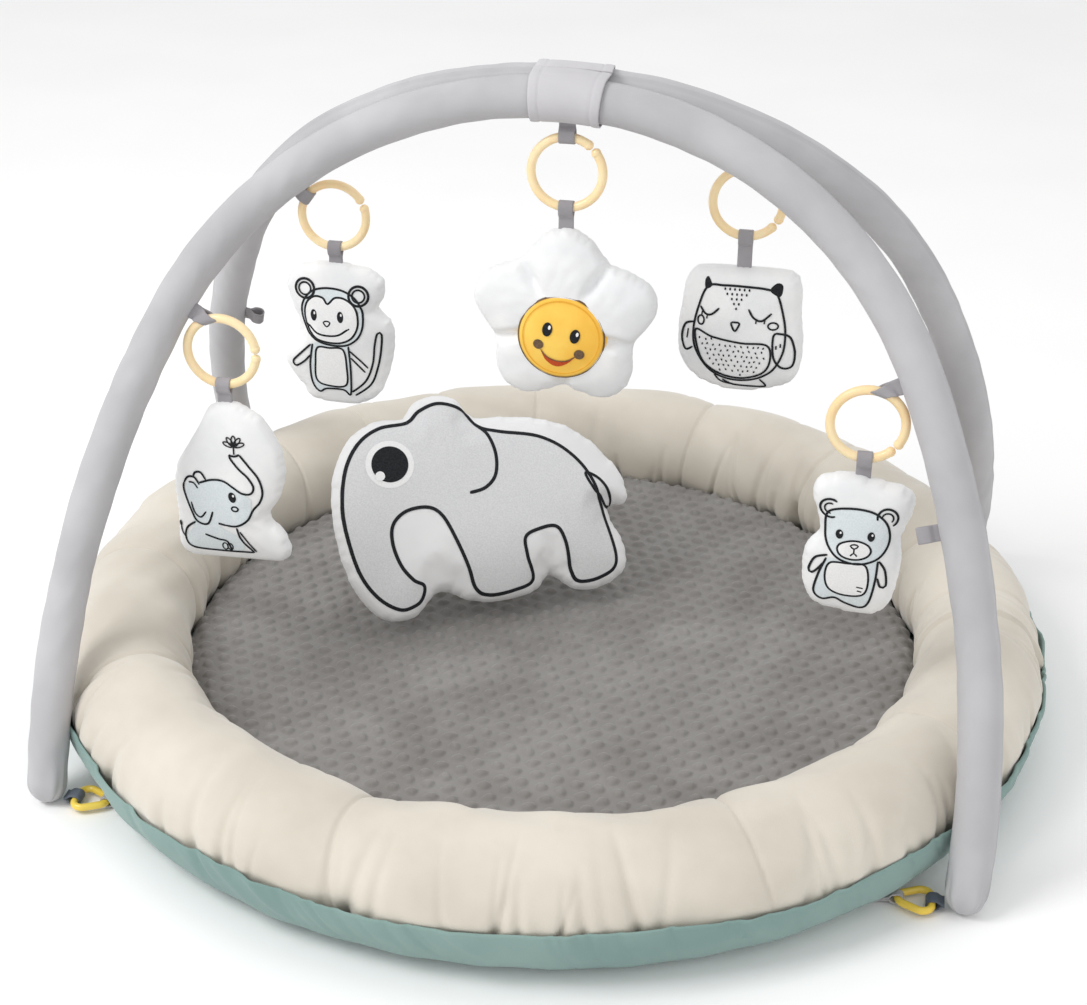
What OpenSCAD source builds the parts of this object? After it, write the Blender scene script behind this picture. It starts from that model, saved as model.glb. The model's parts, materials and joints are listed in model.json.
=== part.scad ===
// Activity play gym: a round padded nest with two soft arches that carry hanging plush toys.
// Millimetres. +Z is up, the origin is the middle of the nest's underside, -Y is the front.

/* [Nest] */
// Diameter across the outside of the padded bolster
nest_d = 926; // [900:2:926]
// Diameter of the bolster's padded tube
bolster_d = 116; // [108:2:116]
// Height of the bolster tube's centre above the floor
bolster_z = 56; // [52:1:58]
// Height of the fabric band that the base cover turns up around the bolster
band_h = 38; // [20:1:44]
// Height of the mat's top above the floor
mat_h = 45; // [35:1:50]

/* [Arches] */
// Centreline radius of an arch's crown
crown_r = 353.5; // [353:0.5:356]
// Half of the angle that the crown spans
crown_half = 66; // [65.5:0.1:66.5]
// Centreline radius of an arch's legs
leg_r = 877; // [870:1:884]
// Angle that each leg spans
leg_angle = 27.7; // [27.2:0.1:28.2]
// Lean of each arch towards the other
lean = 26.3; // [25.8:0.1:26.8]
// Outer diameter of the fabric sleeve
sleeve_d = 37; // [34:1:37]
// Outer diameter of the bendy rod inside the foam
rod_d = 14; // [10:1:16]
// Width of the wrap that holds the two crowns together
wrap_w = 62; // [40:1:70]
// Distance of the wrap from the middle, along the crowns
wrap_x = 12; // [0:1:14]

/* [Hanging toys] */
// Centreline diameter of a link ring
ring_d = 62; // [58:1:64]
// Thickness of a link ring's bar
ring_t = 8; // [6:0.5:8]
// Thickness of the webbing
web_t = 1.5; // [1:0.1:1.6]
// Width of a hanging loop on an arch
loop_w = 14; // [10:1:15]
// Width of a toy's tag
tag_w = 13; // [10:1:15]
// Diameter of the star's round face
face_d = 80; // [60:1:84]

/* [Anchors] */
// Length of a triangular hook's bar
hook_w = 34; // [32:1:36]
// Height of a triangular hook
hook_h = 34; // [33:1:35]
// Thickness of a hook's bar
hook_t = 6.5; // [6:0.5:6.5]
// Width of the webbing at a foot
foot_strap_w = 13; // [8:1:13]

/* [Pillow] */
// Thickness of the loose pillow at its middle
pillow_t = 64; // [40:2:68]
// Lean of the pillow backwards
pillow_lean = 32; // [30:1:34]
// Turn of the pillow about the vertical
pillow_turn = 28; // [26:1:30]

/* [Hidden] */
$fn = 96;

fabric = 1.8;       // wall of a sewn cover
ease = 0.2;         // space between a cover and its filling
cloth_gap = 0.3;    // space between neighbouring soft parts
front = -1;
back = 1;

// Nest profile, in a half plane of radius and height
bolster_r = bolster_d / 2;
bolster_ring_r = nest_d / 2 - bolster_r;
floor_t = 2;
nest_floor = floor_t + cloth_gap;

// Arch curve, in its own plane: u across, v up from the middle of the feet
sleeve_r = sleeve_d / 2;
sleeve_wall = 1.5;
foam_r = sleeve_r - sleeve_wall - ease;
rod_r = rod_d / 2;
rod_wall = 2;
joint_gap = 0.5;
seam_len = 8;
ferrule_len = 30;
ferrule_wall = 0.9;
ferrule_ease = 0.35;
foam_bore_r = rod_r + ferrule_ease + ferrule_wall + ease;
cap_wall = 1.6;
cap_ease = 0.4;
cap_len = 20;
leg_cu = (crown_r - leg_r) * sin(crown_half);
foot_u = leg_cu + leg_r * sin(crown_half + leg_angle);
crown_v = -((crown_r - leg_r) * cos(crown_half) + leg_r * cos(crown_half + leg_angle));
leg_cv = crown_v + (crown_r - leg_r) * cos(crown_half);
crown_gap = 0.6;
arch_rise = crown_v + crown_r;
foot_y = arch_rise * sin(lean) + sleeve_r + crown_gap / 2;
foot_r = sleeve_r + 0.4;
foot_z = foot_r;

// A point of an arch's crown, phi degrees from its top towards +X, at radius r in the arch's plane
function crown_point(side, phi, r) = let (v = crown_v + r * cos(phi))
    [r * sin(phi), side * (foot_y - v * sin(lean)), foot_z + v * cos(lean)];

// Each hanging toy: [arch, angle of its loop from the crown's top, reach of its loop,
//   direction from the loop to the ring's centre, direction of the ring's opening,
//   drop from the ring to the toy, toy width, toy height, toy thickness]
elephant = [front, -63, 33, -69, 0, 10, 108, 160, 34];
bear = [front, 66, 33, -108, -40, 9, 92, 134, 34];
star = [front, asin(wrap_x / crown_r), 38, -90, 45, 12, 166, 184, 40];
monkey = [back, -52, 33, -36, 25, 9, 112, 148, 34];
owl = [back, 31, 40, -90, -35, 22, 116, 122, 40];

function loop_reach(toy) = toy[2];
function ring_way(toy) = toy[3];
function ring_open(toy) = toy[4];
function drop(toy) = toy[5];
function toy_w(toy) = toy[6];
function toy_h(toy) = toy[7];
function toy_t(toy) = toy[8];

ring_r = ring_d / 2;
eye_r = ring_t / 2 + 1.1;
sewn_in = 0.7;
ring_gap = 10;
knuckle_r = ring_t / 2 + 0.4;
star_eye_drop = 15;

function loop_eye(toy) = toy == star
    ? [wrap_x, front * (sleeve_r + crown_gap / 2), foot_z + arch_rise * cos(lean) - sleeve_r - star_eye_drop]
    : crown_point(toy[0], toy[1], crown_r - loop_reach(toy));
function ring_centre(toy) = loop_eye(toy) + ring_r * [cos(ring_way(toy)), 0, sin(ring_way(toy))];
function toy_top(toy) = ring_centre(toy) - [0, 0, ring_r + eye_r + drop(toy)];

// Outline of a plain plush toy: a rounded rectangle with full sides
function plush_outline(w, h) = [for (i = [0 : 31]) let (a = i * 11.25, c = cos(a), s = sin(a))
    [w / 2 * sign(c) * pow(abs(c), 0.7), h / 2 * sign(s) * pow(abs(s), 0.7)]];

// Outline of the star toy: five soft lobes
function star_outline(w, h) = [for (i = [0 : 49]) let (a = i * 7.2 + 3.6, r = 0.83 + 0.17 * cos(5 * (a - 90)))
    [w / 2 * r * cos(a) * 1.045, h / 2 * r * sin(a)]];

// Outline of the loose pillow: a standing animal with a trunk, two legs and a tail, feet on v = 0
pillow_outline = [
    [-82, 4], [-94, 0], [-112, 2], [-130, 14], [-144, 40], [-152, 80], [-152, 116], [-145, 152], [-126, 182],
    [-96, 198], [-72, 200], [-60, 211], [-34, 217], [-12, 209], [2, 194], [40, 188], [82, 176], [112, 156],
    [136, 128], [148, 100], [144, 86], [128, 80], [136, 40], [130, 16], [104, 2], [76, 2], [50, 14], [38, 4],
    [2, 0], [-30, 4], [-52, 14], [-66, 14]
];
pillow_mid = [-6, 106];
pillow_foot = [-54, 14, mat_h + 9];

// Triangular hook, lying flat with its bar towards the foot and its point towards the nest
hook_r = hook_t / 2;
hook_bend = 8;
hook_y = foot_y + 1;
hook_bar_x = foot_u - 26.5;
hook_tip_x = hook_bar_x - hook_h + hook_t;
hook_half = (hook_w - hook_t) / 2 - hook_bend;
hook_corners = [[hook_bar_x - hook_bend, -hook_half], [hook_bar_x - hook_bend, hook_half],
    [hook_tip_x + hook_bend, 0]];
foot_strap_eye_r = hook_r * sqrt(2) + 0.3;
floor_clear = 0.1;
hook_z = floor_clear + web_t + foot_strap_eye_r;
foot_half_w = sqrt(pow(foot_r, 2) - pow(foot_z - hook_z - web_t, 2));
anchor_loop_w = 6;
anchor_eye_r = 5.8;
anchor_reach = 27;

// ---------- nest ----------

module bolster_section(r, low) {
    difference() {
        translate([bolster_ring_r, bolster_z]) circle(r = r);
        translate([0, low - 2 * bolster_d]) square([nest_d, 2 * bolster_d]);
    }
}

module mat_section(gap, low, high) {
    difference() {
        translate([0, low]) square([bolster_ring_r, high - low]);
        translate([bolster_ring_r, bolster_z]) circle(r = bolster_r + gap);
    }
}

module base_cover() {
    color([0.50, 0.61, 0.59]) rotate_extrude() {
        square([bolster_ring_r, floor_t]);
        intersection() {
            difference() {
                translate([bolster_ring_r, bolster_z]) circle(r = bolster_r + cloth_gap + fabric);
                translate([bolster_ring_r, bolster_z]) circle(r = bolster_r + cloth_gap);
            }
            translate([bolster_ring_r - 1, 0]) square([bolster_d, band_h]);
        }
        square([bolster_ring_r + sqrt(pow(bolster_r + cloth_gap + fabric, 2) - pow(bolster_z, 2)), floor_t]);
    }
}

module bolster_cover() {
    color([0.88, 0.85, 0.80]) rotate_extrude() difference() {
        bolster_section(bolster_r, nest_floor);
        bolster_section(bolster_r - fabric, nest_floor + fabric);
    }
}

module bolster_filling() {
    color([0.95, 0.95, 0.95]) rotate_extrude()
        bolster_section(bolster_r - fabric - ease, nest_floor + fabric + ease);
}

module mat_cover() {
    color([0.56, 0.54, 0.53]) rotate_extrude() difference() {
        mat_section(cloth_gap, nest_floor, mat_h);
        mat_section(cloth_gap + fabric, nest_floor + fabric, mat_h - fabric);
    }
}

module mat_wadding() {
    color([0.95, 0.95, 0.95]) rotate_extrude()
        mat_section(cloth_gap + fabric + ease, nest_floor + fabric + ease, mat_h - fabric - ease);
}

// ---------- webbing, hooks and rings ----------

// Webbing folded round a bar and sewn flat: its eye is at the origin, its root at -len, its hole along Z
module strap_eye(len, r, w) {
    linear_extrude(height = w, center = true) difference() {
        union() {
            circle(r = r + web_t);
            translate([-len, -web_t]) square([len, 2 * web_t]);
        }
        circle(r = r);
    }
}

// Outline that runs at distance r round the given corners, given counter-clockwise
function rounded_outline(corners, r) = let (n = len(corners)) [for (i = [0 : n - 1])
    let (p = corners[i], to = corners[(i + 1) % n] - p, from = p - corners[(i + n - 1) % n],
        a = atan2(from[1], from[0]) - 90, turn = (atan2(to[1], to[0]) - 90 - a + 720) % 360)
    for (k = [0 : 6]) p + r * [cos(a + turn * k / 6), sin(a + turn * k / 6)]];

// Puts a child made for the front right foot at any foot
module at_foot(side_x, side_y) {
    mirror([side_x < 0 ? 1 : 0, 0, 0]) mirror([0, side_y > 0 ? 1 : 0, 0]) children();
}

module hook(side_x, side_y) {
    color([0.95, 0.80, 0.28]) at_foot(side_x, side_y) translate([0, -hook_y, hook_z])
        linear_extrude(height = hook_t, center = true) difference() {
            polygon(rounded_outline(hook_corners, hook_bend + hook_r));
            polygon(rounded_outline(hook_corners, hook_bend - hook_r));
        }
}

// Webbing round the hook's bar, ending at the sleeve's foot
module foot_strap(side_x, side_y) {
    color([0.33, 0.36, 0.41]) at_foot(side_x, side_y) translate([hook_bar_x, -hook_y, hook_z])
        rotate([90, 0, 0]) rotate([0, 0, 180])
            strap_eye(foot_u - foot_half_w - cloth_gap - hook_bar_x, foot_strap_eye_r, foot_strap_w);
}

// Webbing round the hook's point, whose two ends run along the floor and into the base's seam
module anchor_loop(side_x, side_y) {
    outer = anchor_eye_r + web_t;
    color([0.72, 0.71, 0.72]) at_foot(side_x, side_y)
        translate([hook_tip_x, -hook_y, floor_clear + outer]) rotate([90, 0, 0])
            linear_extrude(height = anchor_loop_w, center = true) difference() {
                union() {
                    circle(r = outer);
                    translate([-anchor_reach, -outer]) square([anchor_reach, 2 * web_t]);
                }
                circle(r = anchor_eye_r);
            }
}

module link_ring(toy) {
    color([0.98, 0.88, 0.70]) translate(ring_centre(toy)) rotate([90, 0, 0]) rotate([0, 0, ring_open(toy)]) {
        rotate([0, 0, ring_gap / 2]) rotate_extrude(angle = 360 - ring_gap) translate([ring_r, 0])
            circle(d = ring_t, $fn = 48);
        for (end = [-1, 1]) rotate([0, 0, end * (ring_gap / 2 + 4)]) translate([ring_r, 0, 0])
            sphere(r = knuckle_r, $fn = 48);
    }
}

// Webbing loop sewn into an arch: its eye lies along its ring, its flat root points at the sleeve
module arch_loop(toy) {
    color([0.62, 0.60, 0.63]) difference() {
        union() {
            translate(loop_eye(toy)) rotate([0, -ring_way(toy), 0])
                cylinder(r = eye_r + web_t, h = loop_w, center = true);
            at_crown(toy[0], toy[1], loop_reach(toy)) translate([0, -loop_w / 2, -web_t])
                cube([loop_reach(toy) - sleeve_r + sewn_in, loop_w, 2 * web_t]);
        }
        translate(loop_eye(toy)) rotate([0, -ring_way(toy), 0])
            cylinder(r = eye_r, h = 2 * loop_w, center = true);
    }
}

// The star's loop hangs straight down from the wrap
module star_loop() {
    color([0.62, 0.60, 0.63]) translate(loop_eye(star)) rotate([0, 90, 0])
        strap_eye(star_eye_drop - ease - fabric + sewn_in, eye_r, loop_w);
}

module toy_tag(toy) {
    color([0.62, 0.60, 0.63]) translate(ring_centre(toy) - [0, 0, ring_r]) rotate([0, -90, 0])
        strap_eye(eye_r + drop(toy) + sewn_in, eye_r, tag_w);
}

// ---------- arches ----------

// The arch's curve is three lengths that meet at two joints: the crown and two legs.
// Each length stops short of a joint by joint_gap.
module crown() {
    cut = joint_gap / crown_r * 180 / PI;
    translate([0, crown_v]) rotate([0, 0, 90 - crown_half + cut])
        rotate_extrude(angle = 2 * (crown_half - cut)) translate([crown_r, 0]) children();
}

module leg(gap = joint_gap) {
    translate([leg_cu, leg_cv]) rotate([0, 0, 90 - crown_half - leg_angle])
        rotate_extrude(angle = leg_angle - gap / leg_r * 180 / PI) translate([leg_r, 0]) children();
}

// A short length of the curve around each joint
module at_joints(len) {
    span = len / crown_r * 180 / PI;
    both_sides() translate([0, crown_v]) rotate([0, 0, 90 - crown_half - span / 2])
        rotate_extrude(angle = span) translate([crown_r, 0]) children();
}

// Puts a child, which points along X from the origin to the arch, on the inside of a crown
module at_crown(side, angle, reach) {
    stand(side) translate([0, crown_v]) rotate([0, 0, 90 + side * angle])
        translate([crown_r - reach, 0, 0]) children();
}

module both_sides() {
    for (side = [0, 1]) mirror([side, 0, 0]) children();
}

module ring_section(outer, inner) {
    difference() {
        circle(r = outer);
        circle(r = inner);
    }
}

// Stands a shape drawn in the arch's plane on its feet, at the front or the back
module stand(side) {
    rotate([0, 0, side == front ? 0 : 180]) translate([0, -foot_y, foot_z])
        rotate([90 - lean, 0, 0]) children();
}

// Puts a child, which points along Y from the origin into the arch, on both ends of its curve
module at_arch_ends() {
    both_sides() translate([foot_u, 0]) rotate([0, 0, 90 - crown_half - leg_angle]) children();
}

// Sleeve over the foam, closed at its feet, with a seam round it at each joint
module sleeve(side) {
    inner = sleeve_r - sleeve_wall;
    color([0.79, 0.78, 0.80]) stand(side) {
        crown() ring_section(sleeve_r, inner);
        both_sides() difference() {
            union() {
                leg() circle(r = sleeve_r);
                translate([foot_u, 0]) sphere(r = foot_r);
            }
            leg(-joint_gap) circle(r = inner);
            translate([foot_u, 0]) rotate([0, 0, 90 - crown_half - leg_angle]) rotate([90, 0, 0])
                cylinder(r = rod_r + ease, h = cap_wall + ease, $fn = 48);
        }
        at_joints(seam_len) ring_section(sleeve_r + 0.3, sleeve_r - sleeve_wall / 2);
    }
}

// Foam tube in three lengths
module foam(side) {
    color([0.93, 0.93, 0.90]) stand(side) {
        crown() ring_section(foam_r, foam_bore_r);
        both_sides() leg() ring_section(foam_r, foam_bore_r);
    }
}

// Rod in three lengths
module rod(side) {
    color([0.30, 0.31, 0.33]) stand(side) {
        crown() ring_section(rod_r, rod_r - rod_wall, $fn = 48);
        both_sides() leg() ring_section(rod_r, rod_r - rod_wall, $fn = 48);
    }
}

// Outer tubes that join the rod's lengths
module ferrules(side) {
    color([0.72, 0.73, 0.75]) stand(side) at_joints(ferrule_len)
        ring_section(rod_r + ferrule_ease + ferrule_wall, rod_r + ferrule_ease, $fn = 48);
}

// Plugs pushed into both ends of the rod
module rod_caps(side) {
    color([0.15, 0.15, 0.16]) stand(side) at_arch_ends() {
        rotate([90, 0, 0]) cylinder(r = rod_r, h = cap_wall, $fn = 48);
        rotate([-90, 0, 0]) cylinder(r = rod_r - rod_wall - cap_ease, h = cap_len, $fn = 48);
    }
}

// One half of the wrap that holds the crowns together, fixed to its own arch
module wrap(side) {
    inside = sleeve_r + ease;
    outside = inside + fabric;
    edge = sleeve_r + crown_gap / 2 - 0.15;
    half = wrap_w / 2 / crown_r * 180 / PI;
    middle = asin(wrap_x / crown_r) * (side == front ? 1 : -1);
    color([0.83, 0.82, 0.83]) stand(side) translate([0, crown_v]) rotate([0, 0, 90 - middle - half])
        rotate_extrude(angle = 2 * half) translate([crown_r, 0]) rotate([0, 0, lean - 90]) difference() {
            union() {
                circle(r = outside);
                translate([0, -outside]) square([edge, 2 * outside]);
            }
            circle(r = inside);
            translate([0, -inside]) square([outside, 2 * inside]);
            translate([edge, -outside]) square(2 * outside);
        }
}

// A free loop on the inside of an arch's leg, for another toy
module spare_loop(side) {
    up = 19.5;
    reach = 31;
    a = 90 - crown_half - leg_angle + up;
    color([0.62, 0.60, 0.63]) stand(side) translate([leg_cu, leg_cv]) rotate([0, 0, a])
        translate([leg_r - reach, 0, 0]) rotate([0, 0, 180]) rotate([90, 0, 0])
            strap_eye(reach - sleeve_r + sewn_in, eye_r, loop_w);
}

// ---------- plush ----------

module scaled_polygon(points, mid, k) {
    polygon([for (p = points) mid + (p - mid) * k]);
}

// A stuffed shape: full outline along its seam, smaller and thicker in the middle, hollow for its filling
module plush_cover(points, mid, t) {
    difference() {
        union() {
            linear_extrude(height = t * 0.4, center = true) polygon(points);
            linear_extrude(height = t, center = true) scaled_polygon(points, mid, 0.88);
        }
        linear_extrude(height = t - 2 * fabric, center = true) scaled_polygon(points, mid, 0.84);
    }
}

module plush_filling(points, mid, t) {
    linear_extrude(height = t - 2 * (fabric + ease), center = true) scaled_polygon(points, mid, 0.835);
}

// Hangs a shape, drawn around the origin, under its ring
module hang(toy) {
    translate(toy_top(toy) - [0, 0, toy_h(toy) / 2]) rotate([90, 0, 0]) children();
}

module toy_cover(toy) {
    outline = plush_outline(toy_w(toy), toy_h(toy));
    color([0.95, 0.95, 0.94]) hang(toy) plush_cover(outline, [0, 0], toy_t(toy));
}

module toy_filling(toy) {
    outline = plush_outline(toy_w(toy), toy_h(toy));
    color([0.98, 0.98, 0.98]) hang(toy) plush_filling(outline, [0, 0], toy_t(toy));
}

module star_cover() {
    outline = star_outline(toy_w(star), toy_h(star));
    color([0.96, 0.96, 0.95]) hang(star) plush_cover(outline, [0, 0], toy_t(star));
}

module star_filling() {
    outline = star_outline(toy_w(star), toy_h(star));
    color([0.98, 0.98, 0.98]) hang(star) plush_filling(outline, [0, 0], toy_t(star));
}

// Round face cushion on the star's front
module star_face() {
    face_t = 5;
    face_drop = 4;
    color([0.98, 0.78, 0.32]) hang(star) translate([0, -face_drop, toy_t(star) / 2])
        cylinder(d = face_d, h = face_t);
}

module lay_pillow() {
    translate(pillow_foot) rotate([0, 0, pillow_turn]) rotate([90 - pillow_lean, 0, 0]) children();
}

module pillow_cover() {
    color([0.93, 0.93, 0.93]) lay_pillow() plush_cover(pillow_outline, pillow_mid, pillow_t);
}

module pillow_filling() {
    color([0.98, 0.98, 0.98]) lay_pillow() plush_filling(pillow_outline, pillow_mid, pillow_t);
}

base_cover();
bolster_cover();
bolster_filling();
mat_cover();
mat_wadding();
anchor_loop(-1, front);  // anchor_loop_front_left
anchor_loop(1, front);  // anchor_loop_front_right
anchor_loop(-1, back);  // anchor_loop_back_left
anchor_loop(1, back);  // anchor_loop_back_right
hook(-1, front);  // hook_front_left
hook(1, front);  // hook_front_right
hook(-1, back);  // hook_back_left
hook(1, back);  // hook_back_right
foot_strap(-1, front);  // foot_strap_front_left
foot_strap(1, front);  // foot_strap_front_right
foot_strap(-1, back);  // foot_strap_back_left
foot_strap(1, back);  // foot_strap_back_right
rod(front);  // front_rod
ferrules(front);  // front_ferrules
rod_caps(front);  // front_rod_caps
foam(front);  // front_foam
sleeve(front);  // front_sleeve
wrap(front);  // front_wrap
spare_loop(front);  // front_spare_loop
rod(back);  // back_rod
ferrules(back);  // back_ferrules
rod_caps(back);  // back_rod_caps
foam(back);  // back_foam
sleeve(back);  // back_sleeve
wrap(back);  // back_wrap
spare_loop(back);  // back_spare_loop
arch_loop(elephant);  // elephant_loop
link_ring(elephant);  // elephant_ring
toy_tag(elephant);  // elephant_tag
toy_cover(elephant);  // elephant_cover
toy_filling(elephant);  // elephant_filling
arch_loop(bear);  // bear_loop
link_ring(bear);  // bear_ring
toy_tag(bear);  // bear_tag
toy_cover(bear);  // bear_cover
toy_filling(bear);  // bear_filling
star_loop();
link_ring(star);  // star_ring
toy_tag(star);  // star_tag
star_cover();
star_filling();
star_face();
arch_loop(monkey);  // monkey_loop
link_ring(monkey);  // monkey_ring
toy_tag(monkey);  // monkey_tag
toy_cover(monkey);  // monkey_cover
toy_filling(monkey);  // monkey_filling
arch_loop(owl);  // owl_loop
link_ring(owl);  // owl_ring
toy_tag(owl);  // owl_tag
toy_cover(owl);  // owl_cover
toy_filling(owl);  // owl_filling
pillow_cover();
pillow_filling();
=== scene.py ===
"""Looks of the activity play gym. Metres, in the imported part's frame: +Z up, -Y to the front."""
import json
import math

import bpy
import numpy as np
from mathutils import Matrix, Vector
from mathutils.bvhtree import BVHTree
from mathutils.geometry import delaunay_2d_cdt


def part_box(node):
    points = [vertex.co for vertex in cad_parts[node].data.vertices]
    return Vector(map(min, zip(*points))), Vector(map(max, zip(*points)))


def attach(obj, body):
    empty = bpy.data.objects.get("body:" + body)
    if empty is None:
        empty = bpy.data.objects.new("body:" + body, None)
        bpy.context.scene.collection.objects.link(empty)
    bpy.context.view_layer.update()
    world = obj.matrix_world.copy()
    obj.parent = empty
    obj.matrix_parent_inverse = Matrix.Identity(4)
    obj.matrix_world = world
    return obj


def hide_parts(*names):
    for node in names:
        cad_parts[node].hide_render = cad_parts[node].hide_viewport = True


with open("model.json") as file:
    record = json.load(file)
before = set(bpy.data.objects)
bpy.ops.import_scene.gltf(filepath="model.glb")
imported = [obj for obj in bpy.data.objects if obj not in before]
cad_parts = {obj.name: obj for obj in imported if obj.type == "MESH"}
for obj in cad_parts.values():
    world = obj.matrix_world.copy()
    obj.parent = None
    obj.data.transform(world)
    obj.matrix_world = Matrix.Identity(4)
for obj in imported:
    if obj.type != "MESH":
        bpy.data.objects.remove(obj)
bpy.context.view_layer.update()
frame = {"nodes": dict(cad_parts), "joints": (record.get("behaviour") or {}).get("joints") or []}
MM = 0.001
TAU = 2 * math.pi

# ---------- camera, at the photograph's angle ----------

CAMERA_AZIMUTH = math.radians(10.31)
CAMERA_ELEVATION = math.radians(28.12)
CAMERA_ROLL = math.radians(0.435)
CAMERA_DISTANCE = 1.9094
CAMERA_TARGET = Vector((-0.0199, 0.0574, 0.1515))
SENSOR_WIDTH = 36
LENS = 65.0


def add_camera():
    sin_a, cos_a = math.sin(CAMERA_AZIMUTH), math.cos(CAMERA_AZIMUTH)
    sin_e, cos_e = math.sin(CAMERA_ELEVATION), math.cos(CAMERA_ELEVATION)
    back = Vector((sin_a * cos_e, -cos_a * cos_e, sin_e))
    level = Vector((cos_a, sin_a, 0))
    up = back.cross(level)
    right = level * math.cos(CAMERA_ROLL) + up * math.sin(CAMERA_ROLL)
    up = back.cross(right)
    data = bpy.data.cameras.new("camera")
    data.sensor_width = SENSOR_WIDTH
    data.lens = LENS
    camera = bpy.data.objects.new("camera", data)
    bpy.context.scene.collection.objects.link(camera)
    turn = np.eye(4)
    turn[:3, 0], turn[:3, 1], turn[:3, 2] = right, up, back
    turn[:3, 3] = CAMERA_TARGET + back * CAMERA_DISTANCE
    camera.matrix_world = turn.T
    bpy.context.scene.camera = camera


add_camera()

# ---------- sizes, from the frame and the part's driving dimensions ----------

joints = {j["name"]: j for j in frame["joints"]}
TOYS = ("elephant", "bear", "star", "monkey", "owl")
ARCH_OF = {"elephant": "front", "bear": "front", "star": "front", "monkey": "back", "owl": "back"}

NEST_LOW, NEST_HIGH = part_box("bolster_cover")
BOLSTER_R = 0.058
BOLSTER_Z = NEST_HIGH.z - BOLSTER_R
BOLSTER_RING_R = NEST_HIGH.x - BOLSTER_R
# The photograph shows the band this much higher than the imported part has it.
BAND_RAISED = 0.018
BAND_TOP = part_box("base_cover")[1].z + BAND_RAISED
MAT_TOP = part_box("mat_cover")[1].z

CROWN_R = 0.3535
CROWN_HALF = math.radians(66)
LEG_R = 0.877
LEG_ANGLE = math.radians(27.7)
LEAN = math.radians(26.3)
SLEEVE_R = 0.0185
LEG_CU = (CROWN_R - LEG_R) * math.sin(CROWN_HALF)
FOOT_ANGLE = math.pi / 2 - CROWN_HALF - LEG_ANGLE
FOOT_U = LEG_CU + LEG_R * math.cos(FOOT_ANGLE)
CROWN_V = -((CROWN_R - LEG_R) * math.cos(CROWN_HALF) + LEG_R * math.sin(FOOT_ANGLE))
LEG_CV = CROWN_V + (CROWN_R - LEG_R) * math.cos(CROWN_HALF)
FOOT_Y = -joints["front_arch_fold"]["pos_m"][1]
FOOT_Z = joints["front_arch_fold"]["pos_m"][2]
SIDES = {"front": -1, "back": 1}

WEB_T = 0.0015
RING_BAR_R = 0.004
SPARE_BAR_R = 0.0035
LOOP_WIDTH = 0.014
TAG_WIDTH = 0.013
FOOT_STRAP_WIDTH = 0.0125
ANCHOR_WIDTH = 0.007

# ---------- mesh helpers ----------


def link(name, mesh, *materials):
    for material in materials:
        mesh.materials.append(material)
    made = bpy.data.objects.new(name, mesh)
    bpy.context.scene.collection.objects.link(made)
    return made


def mesh_from(name, points, faces):
    """A mesh of points and faces, where faces is an array with 3 or 4 corners each."""
    points = np.asarray(points, np.float32).reshape(-1, 3)
    faces = np.asarray(faces, np.int32)
    corners = faces.shape[1]
    mesh = bpy.data.meshes.new(name)
    mesh.vertices.add(len(points))
    mesh.vertices.foreach_set("co", points.ravel())
    mesh.loops.add(faces.size)
    mesh.loops.foreach_set("vertex_index", faces.ravel())
    mesh.polygons.add(len(faces))
    mesh.polygons.foreach_set("loop_start", np.arange(len(faces), dtype=np.int32) * corners)
    mesh.polygons.foreach_set("use_smooth", np.full(len(faces), True))
    mesh.update(calc_edges=True)
    mesh.validate()
    return mesh


def mesh_from_mixed(name, points, faces):
    """A mesh whose 4-cornered faces may name a corner twice, which makes them triangles."""
    mesh = bpy.data.meshes.new(name)
    corners = [tuple(dict.fromkeys(f.tolist())) for f in faces]
    mesh.from_pydata([tuple(p) for p in points], [], corners)
    mesh.polygons.foreach_set("use_smooth", np.full(len(mesh.polygons), True))
    mesh.update()
    return mesh


def points_of(mesh):
    return np.array([v.co for v in mesh.vertices])


def set_points(mesh, points):
    mesh.vertices.foreach_set("co", points.astype(np.float32).ravel())
    mesh.update()


def grid_faces(rows, columns, wrap_rows=False, wrap_columns=False):
    i = np.arange(rows if wrap_rows else rows - 1)[:, None]
    j = np.arange(columns if wrap_columns else columns - 1)[None, :]
    i2, j2 = (i + 1) % rows, (j + 1) % columns
    quads = [i * columns + j, i2 * columns + j, i2 * columns + j2, i * columns + j2]
    return np.stack(quads, -1).reshape(-1, 4)


def strip_faces(rows, columns):
    """Faces round a flattened strip, with both its ends filled in."""
    i = np.arange(columns // 2 - 1)
    j = columns - 1 - i
    end = np.stack([i, i + 1, j - 1, j], -1)
    far_end = (end + (rows - 1) * columns)[:, ::-1]
    return np.concatenate([grid_faces(rows, columns, False, True), end, far_end])


def spin(rho, theta, z):
    """Points at a distance rho and an angle theta round the nest's middle."""
    return np.stack([rho * np.cos(theta), rho * np.sin(theta), z], -1)


def join_parts(parts):
    """Several (points, faces) pairs as one, with 4-cornered faces."""
    points, faces, start = [], [], 0
    for p, f in parts:
        p = np.asarray(p, float).reshape(-1, 3)
        points.append(p)
        faces.append(np.asarray(f) + start)
        start += len(p)
    return np.concatenate(points), np.concatenate(faces)


def unit(v):
    v = np.asarray(v, float)
    return v / np.linalg.norm(v, axis=-1, keepdims=True)


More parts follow.
